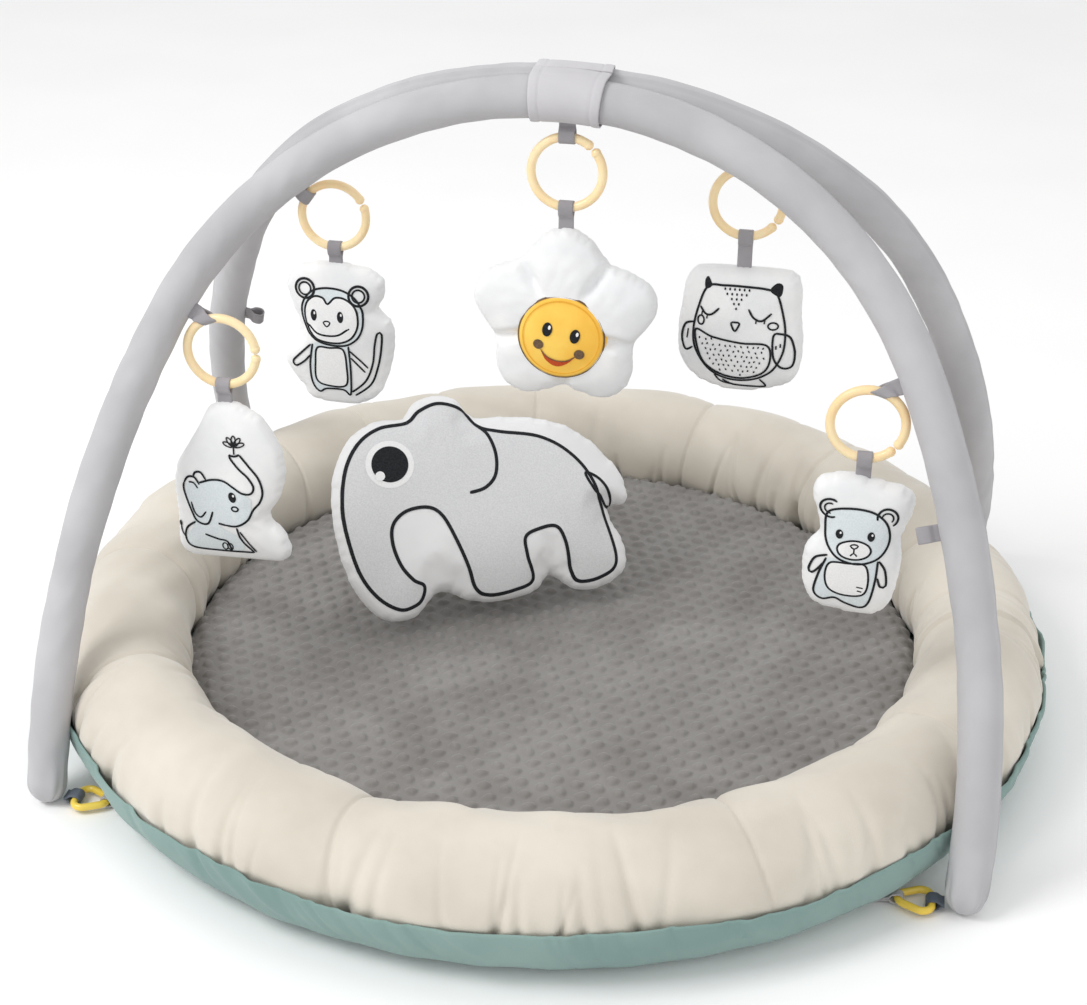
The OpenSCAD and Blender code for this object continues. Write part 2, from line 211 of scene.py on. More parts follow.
def smooth_line(points, step, closed=False):
    """A Catmull-Rom line through the points, with a point about every step."""
    p = np.asarray(points, float)
    n = len(p)
    out = []
    for i in range(n if closed else n - 1):
        if closed:
            a, b, c, d = p[i - 1], p[i], p[(i + 1) % n], p[(i + 2) % n]
        else:
            a, b, c, d = p[max(i - 1, 0)], p[i], p[i + 1], p[min(i + 2, n - 1)]
        count = max(2, int(np.linalg.norm(c - b) / step))
        for t in np.arange(count) / count:
            out.append(0.5 * (2 * b + (c - a) * t + (2 * a - 5 * b + 4 * c - d) * t**2
                              + (3 * b - a - 3 * c + d) * t**3))
    if not closed:
        out.append(p[-1])
    return np.array(out)


def closed_tube(path, radius, normal, around=20):
    """Points and faces of a round bar along a closed path, which lies in a plane with that normal."""
    along = unit(np.roll(path, -1, 0) - np.roll(path, 1, 0))
    side = np.broadcast_to(unit(normal), path.shape)
    out = unit(np.cross(along, side))
    a = np.arange(around) * TAU / around
    ring = np.cos(a)[None, :, None] * out[:, None] + np.sin(a)[None, :, None] * side[:, None]
    return path[:, None] + radius * ring, grid_faces(len(path), around, True, True)


def ripple(x, seed, period):
    """Smooth irregular waves of about that period, between -1 and 1."""
    rng = np.random.default_rng(seed)
    total = np.zeros_like(x)
    for _ in range(5):
        total += np.sin(x * TAU / (period * rng.uniform(0.6, 1.7)) + rng.uniform(0, TAU))
    return total / 3.2


def folds(theta, reach, radius, seed, count, width, length, depth, slant=0.0):
    """Depth of gathers that run away from a seam, over the angle round the nest and the way from the seam."""
    rng = np.random.default_rng(seed)
    total = np.zeros(np.broadcast(theta, reach).shape)
    for _ in range(count):
        at = rng.uniform(0, TAU)
        wide = rng.uniform(*width)
        long = rng.uniform(*length)
        deep = rng.uniform(*depth)
        lean = slant + rng.uniform(-0.25, 0.25)
        round_to = ((theta - at + math.pi) % TAU - math.pi) * radius
        near = np.abs(round_to[:, 0]) < 5 * wide + abs(lean) * long
        away = round_to[near] - lean * reach
        fade = np.clip(1 - reach / long, 0, 1) ** 0.8
        total[near] += deep * np.exp(-(away / wide) ** 2) * fade
    return total


# ---------- materials ----------


class Surface:
    """A Principled material with noise or weave in the object's own coordinates."""

    def __init__(self, name, colour, roughness, **sockets):
        self.material = bpy.data.materials.new(name)
        self.material.use_nodes = True
        self.nodes = self.material.node_tree.nodes
        self.links = self.material.node_tree.links
        self.shader = self.nodes["Principled BSDF"]
        self.shader.inputs["Base Color"].default_value = (*colour, 1)
        self.shader.inputs["Roughness"].default_value = roughness
        for key, value in sockets.items():
            self.shader.inputs[key.replace("_", " ")].default_value = value
        self.coords = self.nodes.new("ShaderNodeTexCoord").outputs["Object"]

    def noise(self, scale, detail=2.0):
        node = self.nodes.new("ShaderNodeTexNoise")
        node.inputs["Scale"].default_value = scale
        node.inputs["Detail"].default_value = detail
        self.links.new(self.coords, node.inputs["Vector"])
        return node.outputs["Fac"]

    def threads(self, direction, scale):
        node = self.nodes.new("ShaderNodeTexWave")
        node.bands_direction = direction
        node.inputs["Scale"].default_value = scale
        node.inputs["Distortion"].default_value = 0.6
        self.links.new(self.coords, node.inputs["Vector"])
        return node.outputs["Fac"]

    def times(self, a, b):
        node = self.nodes.new("ShaderNodeMath")
        node.operation = "MULTIPLY"
        self.links.new(a, node.inputs[0])
        self.links.new(b, node.inputs[1])
        return node.outputs["Value"]

    def vary_colour(self, factor, low, high):
        node = self.nodes.new("ShaderNodeValToRGB")
        first, last = node.color_ramp.elements
        first.color, first.position = (*low, 1), 0.35
        last.color, last.position = (*high, 1), 0.65
        self.links.new(factor, node.inputs["Fac"])
        self.links.new(node.outputs["Color"], self.shader.inputs["Base Color"])

    def bump(self, height, strength, distance):
        node = self.nodes.new("ShaderNodeBump")
        node.inputs["Strength"].default_value = strength
        node.inputs["Distance"].default_value = distance
        self.links.new(height, node.inputs["Height"])
        self.links.new(node.outputs["Normal"], self.shader.inputs["Normal"])


def pile_fabric(name, low, high, patch=14.0, pile=1500.0, sheen=0.35, strength=0.35, roughness=0.9):
    """Velour, minky or brushed cotton: soft patches where the pile lies differently, and a fine pile."""
    cloth = Surface(name, high, roughness, Sheen_Weight=sheen, Sheen_Roughness=0.45, Specular_IOR_Level=0.2)
    cloth.vary_colour(cloth.noise(patch, 4), low, high)
    cloth.bump(cloth.noise(pile), strength, 0.0006)
    return cloth.material


def woven_fabric(name, low, high, threads=1400.0, strength=0.3, sheen=0.15, roughness=0.85, patch=20.0):
    """Plain weave: two sets of threads that cross, with a slight unevenness in the colour."""
    cloth = Surface(name, high, roughness, Sheen_Weight=sheen, Sheen_Roughness=0.5, Specular_IOR_Level=0.25)
    cloth.vary_colour(cloth.noise(patch, 3), low, high)
    scale = threads / TAU
    cloth.bump(cloth.times(cloth.threads("X", scale), cloth.threads("Z", scale)), strength, 0.0004)
    return cloth.material


def moulded_plastic(name, low, high, roughness, **sockets):
    plastic = Surface(name, high, roughness, **sockets)
    plastic.vary_colour(plastic.noise(30), low, high)
    plastic.bump(plastic.noise(900), 0.08, 0.0003)
    return plastic.material


def printed_ink(name, low, high):
    ink = Surface(name, high, 0.75, Specular_IOR_Level=0.2)
    grain = ink.noise(700)
    ink.vary_colour(grain, low, high)
    ink.bump(grain, 0.15, 0.0003)
    return ink.material


CREAM = pile_fabric("cream_velour", (0.61, 0.56, 0.48), (0.71, 0.66, 0.575), patch=9, sheen=0.5)
SAGE = woven_fabric("sage_cotton", (0.195, 0.30, 0.28), (0.25, 0.36, 0.335), threads=1800, patch=8)
MINKY = pile_fabric("grey_minky", (0.215, 0.205, 0.195), (0.28, 0.27, 0.26), patch=16, pile=1800, sheen=0.3,
                    strength=0.5)
SLEEVE = woven_fabric("sleeve_cotton", (0.45, 0.445, 0.46), (0.52, 0.515, 0.53), threads=2200, patch=12)
WRAP = woven_fabric("wrap_cotton", (0.52, 0.51, 0.53), (0.59, 0.58, 0.60), threads=2200, patch=12)
WEBBING = woven_fabric("grey_webbing", (0.33, 0.315, 0.335), (0.40, 0.385, 0.405), threads=3600, strength=0.6)
# Webbing for the foot straps. Its dark slate colour is painted shade where the lower ends of the arches lie
# in shade.
PAINTED_SHADE_WEBBING = woven_fabric("slate_webbing", (0.10, 0.12, 0.155), (0.15, 0.17, 0.21), threads=3600, strength=0.6)
PALE_WEBBING = woven_fabric("pale_webbing", (0.42, 0.41, 0.42), (0.50, 0.49, 0.50), threads=3600,
                            strength=0.6)
PLUSH = pile_fabric("white_plush", (0.80, 0.81, 0.82), (0.90, 0.90, 0.90), patch=22, sheen=0.3, strength=0.25)
COTTON = woven_fabric("white_cotton", (0.80, 0.80, 0.81), (0.88, 0.88, 0.885), threads=2600, patch=9)
PEACH = moulded_plastic("peach_plastic", (0.95, 0.68, 0.37), (1.0, 0.78, 0.48), 0.35,
                        Subsurface_Weight=0.15, Coat_Weight=0.15)
YELLOW = moulded_plastic("yellow_plastic", (0.84, 0.58, 0.06), (0.90, 0.66, 0.10), 0.3, Coat_Weight=0.2)
SUN = pile_fabric("yellow_velour", (0.93, 0.50, 0.06), (1.0, 0.66, 0.13), patch=18, sheen=0.2, strength=0.2,
                  roughness=0.7)
INK = printed_ink("black_ink", (0.010, 0.011, 0.013), (0.022, 0.024, 0.028))
PALE_INK = printed_ink("pale_blue_ink", (0.68, 0.745, 0.77), (0.76, 0.81, 0.83))
GREY_INK = printed_ink("pale_grey_ink", (0.66, 0.665, 0.675), (0.74, 0.745, 0.755))
WHITE_INK = printed_ink("white_ink", (0.84, 0.84, 0.845), (0.90, 0.90, 0.90))
BROWN_INK = printed_ink("brown_ink", (0.12, 0.075, 0.045), (0.19, 0.12, 0.075))
RED_INK = printed_ink("red_ink", (0.48, 0.065, 0.018), (0.58, 0.09, 0.025))
ORANGE_INK = printed_ink("orange_ink", (0.80, 0.40, 0.03), (0.86, 0.47, 0.05))
ROD = moulded_plastic("rod_plastic", (0.07, 0.075, 0.08), (0.10, 0.105, 0.11), 0.5)
CAP = moulded_plastic("cap_plastic", (0.018, 0.018, 0.02), (0.03, 0.03, 0.032), 0.5)
FERRULE = moulded_plastic("ferrule_metal", (0.48, 0.49, 0.51), (0.58, 0.59, 0.61), 0.35, Metallic=1.0)


def give_material(node, material):
    data = frame["nodes"][node].data
    data.materials.clear()
    data.materials.append(material)


def place(piece, body, slot, *nodes):
    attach(piece, body)
    if nodes:
        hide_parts(*nodes)
    return piece


# ---------- nest ----------

PANEL_SEAMS = [math.radians(a) for a in (8, 24, 52, 76, 104, 119, 134, 149, 163, 186, 214, 258, 302, 334)]
SEAM_WIDTH = 0.0022
SEAM_DEPTH = 0.0022


def panel_seams(theta, radius):
    """How deep the bolster's radial seams cut, and how much the panels between them puff out."""
    cut = np.zeros_like(theta)
    for at in PANEL_SEAMS:
        away = np.abs((theta - at + math.pi) % TAU - math.pi) * radius
        cut += SEAM_DEPTH * np.exp(-(away / SEAM_WIDTH) ** 2) + 0.0022 * np.exp(-(away / 0.014) ** 2)
    return cut


def build_bolster():
    """Padded tube, from under its inner edge over the top to under its outer edge, gathered at both seams."""
    rows, columns = 1500, 128
    start, end = math.radians(248), math.radians(-68)
    theta = (np.arange(rows) * TAU / rows)[:, None]
    phi = np.linspace(start, end, columns)[None, :]
    inner = np.clip((math.radians(212) - phi) * BOLSTER_R, 0, 1)
    outer = np.clip((phi - math.radians(-14)) * BOLSTER_R, 0, 1)
    inner_r = BOLSTER_RING_R - 0.04
    outer_r = BOLSTER_RING_R + 0.05
    along = theta * BOLSTER_RING_R
    r = np.full((rows, columns), BOLSTER_R)
    r += 0.0022 * ripple(along + 0 * phi, 3, 0.17)
    r += 0.0016 * ripple(along + phi * 0.05, 4, 0.06) * ripple(phi * 0.058 + 0 * theta, 5, 0.07)
    r -= panel_seams(theta + 0 * phi + 0.02 * np.sin(phi), BOLSTER_RING_R)
    r -= folds(theta, inner, inner_r, 11, 130, (0.0025, 0.0065), (0.035, 0.11), (0.002, 0.0062))
    r -= folds(theta, outer, outer_r, 12, 120, (0.0025, 0.007), (0.035, 0.11), (0.002, 0.0058), 0.1)
    r += folds(theta, outer, outer_r, 13, 80, (0.006, 0.012), (0.04, 0.10), (0.0006, 0.0022), 0.1)
    r += folds(theta, inner, inner_r, 14, 80, (0.006, 0.010), (0.04, 0.10), (0.0006, 0.0022))
    band_angle = math.asin((BAND_TOP - BOLSTER_Z) / BOLSTER_R)
    in_band = np.clip((band_angle + 0.12 - phi) / 0.16, 0, 1) + 0 * theta
    r = r * (1 - in_band) + np.minimum(r, BOLSTER_R - 0.0008) * in_band
    rho = BOLSTER_RING_R + r * np.cos(phi)
    z = np.maximum(BOLSTER_Z + r * np.sin(phi), NEST_LOW.z)
    mesh = mesh_from("bolster", spin(rho, theta, z), grid_faces(rows, columns, True, True))
    piece = place(link("bolster", mesh, CREAM), "base", "cream_velour", "bolster_cover", "bolster_filling")


def build_base():
    """Fabric floor whose band is turned up round the bolster, with a rolled hem and slanted creases."""
    rows, columns = 1200, 64
    theta = (np.arange(rows) * TAU / rows)[:, None]
    outside = BOLSTER_R + 0.0032
    fold_r = BOLSTER_RING_R + 0.05
    along = theta * BOLSTER_RING_R
    top_angle = math.asin((BAND_TOP - BOLSTER_Z) / outside)
    low_angle = -math.acos(0) + math.acos((BOLSTER_Z - 0.0008) / outside)
    angles = np.linspace(low_angle, top_angle, columns)[None, :]
    reach = (top_angle - angles) * outside
    wave = 0.003 * ripple(along, 21, 0.16)
    r = outside + 0.0008 * (1 + ripple(along + 0 * angles, 22, 0.08))
    r = r + folds(theta, reach, fold_r, 23, 80, (0.006, 0.014), (0.02, 0.06), (0.0004, 0.0016), 0.9)
    creases = folds(theta, reach, fold_r, 24, 120, (0.002, 0.005), (0.03, 0.07), (0.0006, 0.0020), 0.5)
    r = np.maximum(r - creases, outside - 0.0014)
    rho = BOLSTER_RING_R + r * np.cos(angles)
    z = np.maximum(BOLSTER_Z + r * np.sin(angles) + wave * np.clip(1 - reach / 0.03, 0, 1), 0.0008)
    roll = np.linspace(0, math.pi, 9)[None, 1:]
    hem_r = 0.0016
    lip = rho[:, -1:] - hem_r + hem_r * np.cos(roll)
    lip_z = z[:, -1:] + hem_r * 1.6 * np.sin(roll)
    tuck = np.repeat(lip[:, -1:], 6, 1) - 0.0002 * np.arange(6)[None, :] ** 1.4
    tuck_z = z[:, -1:] - np.linspace(0.003, 0.018, 6)[None, :]
    radii = np.linspace(0.02, float(rho[:, 0].min()) - 0.004, 24)[None, :]
    floor_z = np.clip(0.0004 * (1 + ripple(theta * 0.3 + radii, 25, 0.1)), 0, 0.001)
    rings = [(radii, floor_z), (rho, z), (lip, lip_z), (tuck, tuck_z)]
    points = np.concatenate([spin(ring, theta, height) for ring, height in rings], 1)
    mesh = mesh_from("base", points, grid_faces(rows, points.shape[1], True))
    place(link("base", mesh, SAGE), "base", "base_fabric", "base_cover")
    centre = mesh_from("base_middle", *disc(0.021, 0.0004))
    place(link("base_middle", centre, SAGE), "base", "base_fabric")


def disc(radius, z, rings=4, around=48):
    a = np.arange(around) * TAU / around
    rr = np.linspace(radius, 0.0005, rings)[:, None]
    return spin(rr, a, z + 0 * rr * a), grid_faces(rings, around, False, True)


DOT_PITCH = 0.0185
DOT_ROW = 0.0150
DOT_R = 0.0056
DOT_H = 0.0036


def build_mat():
    """Dimpled minky mat: raised dots in brick rows on a softly uneven pad that sinks under the bolster."""
    size = 500
    gap_height = MAT_TOP - BOLSTER_Z
    edge = BOLSTER_RING_R - math.sqrt(BOLSTER_R**2 - gap_height**2) + 0.004
    s = np.linspace(-1, 1, size)
    a, b = np.meshgrid(s, s, indexing="ij")
    x = edge * a * np.sqrt(1 - b * b / 2)
    y = edge * b * np.sqrt(1 - a * a / 2)
    turn = math.radians(-9)
    p = x * math.cos(turn) + y * math.sin(turn)
    q = -x * math.sin(turn) + y * math.cos(turn)
    p = p + 0.0016 * ripple(x + 2 * y, 34, 0.05)
    q = q + 0.0014 * ripple(y - 2 * x, 35, 0.06)
    row = np.round(q / DOT_ROW)
    across = p - DOT_PITCH * (0.5 * (row % 2))
    dp = across - DOT_PITCH * np.round(across / DOT_PITCH)
    dq = q - DOT_ROW * row
    dot = np.clip(1 - (dp**2 + dq**2) / DOT_R**2, 0, 1) ** 0.6
    far = np.hypot(x, y)
    z = MAT_TOP - DOT_H - 0.0012 + DOT_H * dot
    z += 0.0016 * ripple(x + 0.3 * y, 31, 0.22) * ripple(y - 0.2 * x, 32, 0.19)
    crease = np.abs(y + 0.12 * x - 0.015 * ripple(x, 33, 0.2) + 0.05)
    z -= 0.0022 * np.exp(-(crease / 0.012) ** 2) * np.clip(1 - far / edge, 0, 1)
    z -= 0.012 * np.clip((far - edge + 0.02) / 0.02, 0, 1) ** 2
    top = np.stack([x, y, z], -1)
    top_faces = grid_faces(size, size)
    rim = np.concatenate([np.arange(size), np.arange(1, size) * size + size - 1,
                          (size - 1) * size + np.arange(size - 2, -1, -1), np.arange(size - 2, 0, -1) * size])
    low = top.reshape(-1, 3)[rim].copy()
    low[:, 2] = 0.004
    count = len(rim)
    nxt = np.roll(np.arange(count), -1)
    base = size * size
    skirt = np.stack([rim, rim[nxt], base + nxt, base + np.arange(count)], -1)
    points = np.concatenate([top.reshape(-1, 3), low])
    mesh = mesh_from("mat", points, np.concatenate([top_faces, skirt[:, ::-1]]))
    piece = place(link("mat", mesh, MINKY), "base", "grey_minky", "mat_cover", "mat_wadding")


# ---------- arches ----------


def to_world(side, u, v, w=0.0):
    """A point given in an arch's own plane (u across, v up, w out of the plane) in the row frame."""
    y = -FOOT_Y + v * math.sin(LEAN) - w * math.cos(LEAN)
    z = FOOT_Z + v * math.cos(LEAN) + w * math.sin(LEAN)
    flip = 1 if side == "front" else -1
    return np.stack(np.broadcast_arrays(flip * u, flip * y, z), -1)


def way_to_world(side, u, v, w=0.0):
    return to_world(side, u, v, w) - to_world(side, 0.0, 0.0)


def arch_curve(step):
    """Centreline of an arch from its right foot to its left, with the outward direction, in its own plane."""
    leg = np.linspace(FOOT_ANGLE, math.pi / 2 - CROWN_HALF, int(LEG_R * LEG_ANGLE / step))
    crown = np.linspace(math.pi / 2 - CROWN_HALF, math.pi / 2, int(CROWN_R * CROWN_HALF / step))[1:]
    right = np.concatenate([np.stack([LEG_CU + LEG_R * np.cos(leg), LEG_CV + LEG_R * np.sin(leg)], -1),
                            np.stack([CROWN_R * np.cos(crown), CROWN_V + CROWN_R * np.sin(crown)], -1)])
    angle = np.concatenate([leg, crown])
    out = np.stack([np.cos(angle), np.sin(angle)], -1)
    mirror = np.array([-1, 1])
    return (np.concatenate([right, right[-2::-1] * mirror]), np.concatenate([out, out[-2::-1] * mirror]))


def build_sleeve(side, seed):
    """Fabric tube over the foam, with a seam along its inside, soft creases and closed, gathered feet."""
    line, out = arch_curve(0.003)
    around = 48
    a = (np.arange(around) * TAU / around)[None, :]
    cap = np.linspace(0, math.pi / 2, 12)[1:]
    along = unit(np.gradient(line, axis=0))
    start = line[0] - np.sin(cap[::-1])[:, None] * SLEEVE_R * along[0]
    end = line[-1] + np.sin(cap)[:, None] * SLEEVE_R * along[-1]
    centre = np.concatenate([start, line, end])
    outward = np.concatenate([np.repeat(out[:1], 11, 0), out, np.repeat(out[-1:], 11, 0)])
    narrow = np.concatenate([np.cos(cap[::-1]), np.ones(len(line)), np.cos(cap)])[:, None]
    s = np.concatenate([[0], np.cumsum(np.linalg.norm(np.diff(centre, axis=0), axis=1))])[:, None]
    total = float(s[-1, 0])
    from_end = np.minimum(s, total - s)
    r = SLEEVE_R * np.maximum(narrow, 0.02) + 0 * a
    r -= 0.0005 * (1 + ripple(s + 0.006 * np.cos(a), seed, 0.13))
    crumple = ripple(s + 0.018 * np.sin(2 * a + s * 9), seed + 1, 0.035)
    r -= 0.0005 * (1 + crumple) * (0.5 + 0.5 * np.exp(-from_end / 0.12))
    gather = np.exp(-(from_end / 0.028) ** 2)
    r -= 0.0017 * gather * np.maximum(narrow, 0.1) * (1 + np.sin(9 * a + 3 * np.sin(2 * a) + seed))
    seam = a - math.pi
    r += 0.0011 * np.exp(-(seam / 0.07) ** 2) * np.clip(from_end / 0.03, 0, 1)
    r -= 0.0008 * (np.exp(-((seam - 0.17) / 0.05) ** 2) + np.exp(-((seam + 0.17) / 0.05) ** 2))
    u = centre[:, None, 0] - r * np.cos(a) * outward[:, None, 0]
    v = centre[:, None, 1] - r * np.cos(a) * outward[:, None, 1]
    points = to_world(side, u, v, r * np.sin(a))
    points[..., 2] = np.maximum(points[..., 2], 0.0006)
    mesh = mesh_from(f"{side}_sleeve_cloth", points, grid_faces(len(centre), around, False, True)[:, ::-1])
    piece = link(f"{side}_sleeve_cloth", mesh, SLEEVE)
    place(piece, f"{side}_arch", "sleeve_fabric", f"{side}_sleeve", f"{side}_foam")


WRAP_X = 0.012
WRAP_W = 0.062


def build_wrap(side):
    """Half of the band that holds the crowns together: it runs over, round and under its own arch."""
    flip = 1 if side == "front" else -1
    middle = math.asin(WRAP_X / CROWN_R) * flip
    half = WRAP_W / 2 / CROWN_R
    rows = 60
    a = np.linspace(math.pi / 2 - middle - half, math.pi / 2 - middle + half, rows)
    edge = SLEEVE_R + 0.0002
    inner_r = SLEEVE_R + 0.0006
    turn = np.linspace(math.pi / 2, 3 * math.pi / 2, 40)
    straight = np.linspace(edge, 0, 12, endpoint=False)

    def outline(r):
        top = np.stack([straight, np.full(12, r)], -1)
        arc = np.stack([r * np.cos(turn), r * np.sin(turn)], -1)
        under = np.stack([straight[::-1], np.full(12, -r)], -1)
        return np.concatenate([top, arc, under])

    t = np.linspace(0, WRAP_W, rows)
    from_edge = np.minimum(t, WRAP_W - t)
    hem = 0.0004 * np.exp(-((from_edge - 0.004) / 0.0035) ** 4)
    stitch = 0.0004 * np.exp(-((from_edge - 0.0085) / 0.0007) ** 2)
    rings = []
    for thick in (0.0014, 0.0):
        section = outline(inner_r + thick)
        lift = (hem - stitch)[:, None] if thick else 0
        away = unit(section)
        y = section[None, :, 0] + lift * away[None, :, 0] * (section[None, :, 0] < 0) + 0 * t[:, None]
        z = section[None, :, 1] + lift * away[None, :, 1] + 0 * t[:, None]
        if thick:
            s = np.cumsum(np.r_[0, np.linalg.norm(np.diff(section, axis=0), axis=1)])[None, :]
            z = z + 0.0004 * np.sign(section[None, :, 1]) * ripple(s + t[:, None] * 0.4, 41, 0.03)
        rings.append((y, z))
    (yo, zo), (yi, zi) = rings
    y = np.concatenate([yo, yi[:, ::-1]], 1)
    z = np.concatenate([zo, zi[:, ::-1]], 1)
    # The band's own axes: level, towards the other arch, and straight up, turned into the arch's plane.
    v = y * math.sin(LEAN) + z * math.cos(LEAN)
    w = -y * math.cos(LEAN) + z * math.sin(LEAN)
    u = (CROWN_R + v) * np.cos(a)[:, None]
    vv = CROWN_V + (CROWN_R + v) * np.sin(a)[:, None]
    points = to_world(side, u, vv, w)
    mesh = mesh_from(f"{side}_wrap_band", points, strip_faces(rows, points.shape[1]))
    place(link(f"{side}_wrap_band", mesh, WRAP), f"{side}_arch", "wrap_fabric", f"{side}_wrap")


# ---------- webbing and hooks ----------


def webbing(path, sides, width, thick=WEB_T):
    """Points and faces of a strap along a path: fine ribs along it and thicker woven edges."""
    path, sides = np.asarray(path, float), unit(sides)
    along = unit(np.gradient(path, axis=0))
    up = unit(np.cross(along, sides))
    across = np.linspace(-1, 1, 15)
    rib = 0.5 * thick * (0.86 + 0.14 * np.cos(across * 14 * math.pi)) * np.where(abs(across) > 0.85, 1.12, 1)
    rib[[0, -1]] *= 0.55
    section = np.concatenate([np.stack([across * width / 2, rib], -1),
                              np.stack([across[::-1] * width / 2, -rib[::-1]], -1)])
    points = path[:, None] + section[None, :, :1] * sides[:, None] + section[None, :, 1:] * up[:, None]
    return points, strip_faces(len(path), len(section))[:, ::-1]


def folded_strap(root, eye, side_root, side_eye, bar_r, width, step=0.0008):
    """Webbing that runs from its root round a bar at eye and back, its two layers sewn flat together."""
    root, eye = np.asarray(root, float), np.asarray(eye, float)
    side_root, side_eye = unit(side_root), unit(side_eye)
    length = np.linalg.norm(root - eye)
    toward = unit(root - eye)
    face = unit(np.cross(side_eye, toward))
    r = bar_r + WEB_T / 2 + 0.0004
    layer = WEB_T * 0.55
    neck = min(length * 0.85, r * 1.9)
    flat = [(length, layer), (neck + (length - neck) * 0.5, layer), (neck, layer)]
    swell = [(neck * 0.78, r * 0.45), (neck * 0.52, r * 0.86)]
    turn = [(r * math.cos(t), r * math.sin(t)) for t in np.radians([80, 105, 130, 155, 180])]
    half = flat + swell + turn
    outline = smooth_line(half + [(x, -y) for x, y in half[-2::-1]], step)
    x, y = outline[:, :1], outline[:, 1:]
    near_root = np.clip(x / length, 0, 1)
    sides = side_eye * (1 - near_root) + side_root * near_root
    return webbing(eye + toward * x + face * y, sides, width)


def add_strap(name, parts, material, body, slot, *nodes):
    points, faces = parts
    place(link(name, mesh_from(name, points, faces), material), body, slot, *nodes)


def pivot(toy, what):
    return np.array(joints[f"{toy}_{what}_swing"]["pos_m"])


def ring_tangent(toy):
    return unit(np.cross(pivot(toy, "toy") - pivot(toy, "ring"), (0, 1, 0)))


def build_arch_loops():
    for toy in TOYS:
        side = ARCH_OF[toy]
        eye = pivot(toy, "ring")
        if toy == "star":
            root = eye + np.array([0, 0, 0.0145])
            side_root = (1, 0, 0)
        else:
            centre = to_world(side, 0.0, CROWN_V)
            inward = unit(centre - eye)
            root = eye - inward * (CROWN_R - SLEEVE_R - np.linalg.norm(centre - eye) + 0.0015)
            normal = way_to_world(side, 0.0, 0.0, 1.0)
            side_root = np.cross(normal, inward)
            if np.dot(side_root, ring_tangent(toy)) < 0:
                side_root = -side_root
        side_eye = ring_tangent(toy)
        if np.dot(side_eye, side_root) < 0:
            side_eye = -side_eye
        add_strap(f"{toy}_loop_strap", folded_strap(root, eye, side_root, side_eye, RING_BAR_R, LOOP_WIDTH),
                  WEBBING, f"{side}_arch", "grey_webbing", f"{toy}_loop")


def build_spare_loops():
    angle = FOOT_ANGLE + math.radians(19.5)
    reach = 0.031
    for side in SIDES:
        way = np.array([math.cos(angle), math.sin(angle)])
        middle = np.array([LEG_CU, LEG_CV])
        eye = to_world(side, *(middle + (LEG_R - reach) * way))
        root = to_world(side, *(middle + (LEG_R - SLEEVE_R + 0.0012) * way))
        across = way_to_world(side, -way[1], way[0])
        strap = folded_strap(root, eye, across, across, SPARE_BAR_R, LOOP_WIDTH)
        add_strap(f"{side}_spare_loop_strap", strap, WEBBING, f"{side}_arch", "grey_webbing",
                  f"{side}_spare_loop")


def build_tags():
    for toy in TOYS:
        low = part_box(f"{toy}_tag")[0]
        middle = pivot(toy, "toy")
        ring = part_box(f"{toy}_ring")
        eye = middle - np.array([0, 0, (ring[1].x - ring[0].x) / 2 - RING_BAR_R])
        root = np.array([middle[0], middle[1], low.z - 0.004])
        add_strap(f"{toy}_tag_strap", folded_strap(root, eye, (1, 0, 0), (1, 0, 0), RING_BAR_R, TAG_WIDTH),
                  WEBBING, f"{toy}_toy", "grey_webbing", f"{toy}_tag")


HOOK_BEND = 0.008
HOOK_BAR_R = 0.00325


def build_foot(side, hand):
    """Round-bar triangular hook, its strap to the sleeve's foot, and its loop to the base's seam."""
    flip = 1 if hand == "right" else -1
    node = f"hook_{side}_{hand}"
    low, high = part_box(node)
    bar_x = max(abs(low.x), abs(high.x)) - HOOK_BAR_R
    tip_x = min(abs(low.x), abs(high.x)) + HOOK_BAR_R
    y = (low.y + high.y) / 2
    z = (low.z + high.z) / 2
    half = (high.y - low.y) / 2 - HOOK_BAR_R - HOOK_BEND
    corners = np.array([(bar_x - HOOK_BEND, -half), (bar_x - HOOK_BEND, half), (tip_x + HOOK_BEND, 0.0)])
    path = []
    for i, corner in enumerate(corners):
        before = corner - corners[i - 1]
        after = corners[(i + 1) % 3] - corner
        a0 = math.atan2(before[1], before[0]) - math.pi / 2
        turn = (math.atan2(after[1], after[0]) - math.pi / 2 - a0) % TAU
        for k in range(13):
            a = a0 + turn * k / 12
            path.append(corner + HOOK_BEND * np.array([math.cos(a), math.sin(a)]))
    path = np.array(path)
    line = np.stack([flip * path[:, 0], y + path[:, 1], np.full(len(path), z)], -1)
    points, faces = closed_tube(line, HOOK_BAR_R, (0, 0, flip))
    name = f"{side}_{hand}_hook_bar"
    place(link(name, mesh_from(name, points, faces), YELLOW), "base", "yellow_plastic", node)
    foot = np.array([flip * FOOT_U, SIDES[side] * FOOT_Y, FOOT_Z])
    root = np.array([foot[0] - flip * 0.0162, y, z + 0.001])
    bar = np.array([flip * bar_x, y, z])
    strap = folded_strap(root, bar, (0, 1, 0), (0, 1, 0), HOOK_BAR_R, FOOT_STRAP_WIDTH)
    # The foot strap's dark colour is painted shade at the arch's foot.
    add_strap(f"{side}_{hand}_foot_strap", strap, PAINTED_SHADE_WEBBING, "base", "slate_webbing",
              f"foot_strap_{side}_{hand}")
    loop_low, loop_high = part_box(f"anchor_loop_{side}_{hand}")
    end_x = min(abs(loop_low.x), abs(loop_high.x))
    tip = np.array([flip * tip_x, y, z + 0.0004])
    root = np.array([flip * end_x, y, 0.0026])
    strap = folded_strap(root, tip, (0, 1, 0), (0, 1, 0), HOOK_BAR_R, ANCHOR_WIDTH)
    add_strap(f"{side}_{hand}_anchor_strap", strap, PALE_WEBBING, "base", "pale_webbing",
              f"anchor_loop_{side}_{hand}")


# ---------- cushions ----------


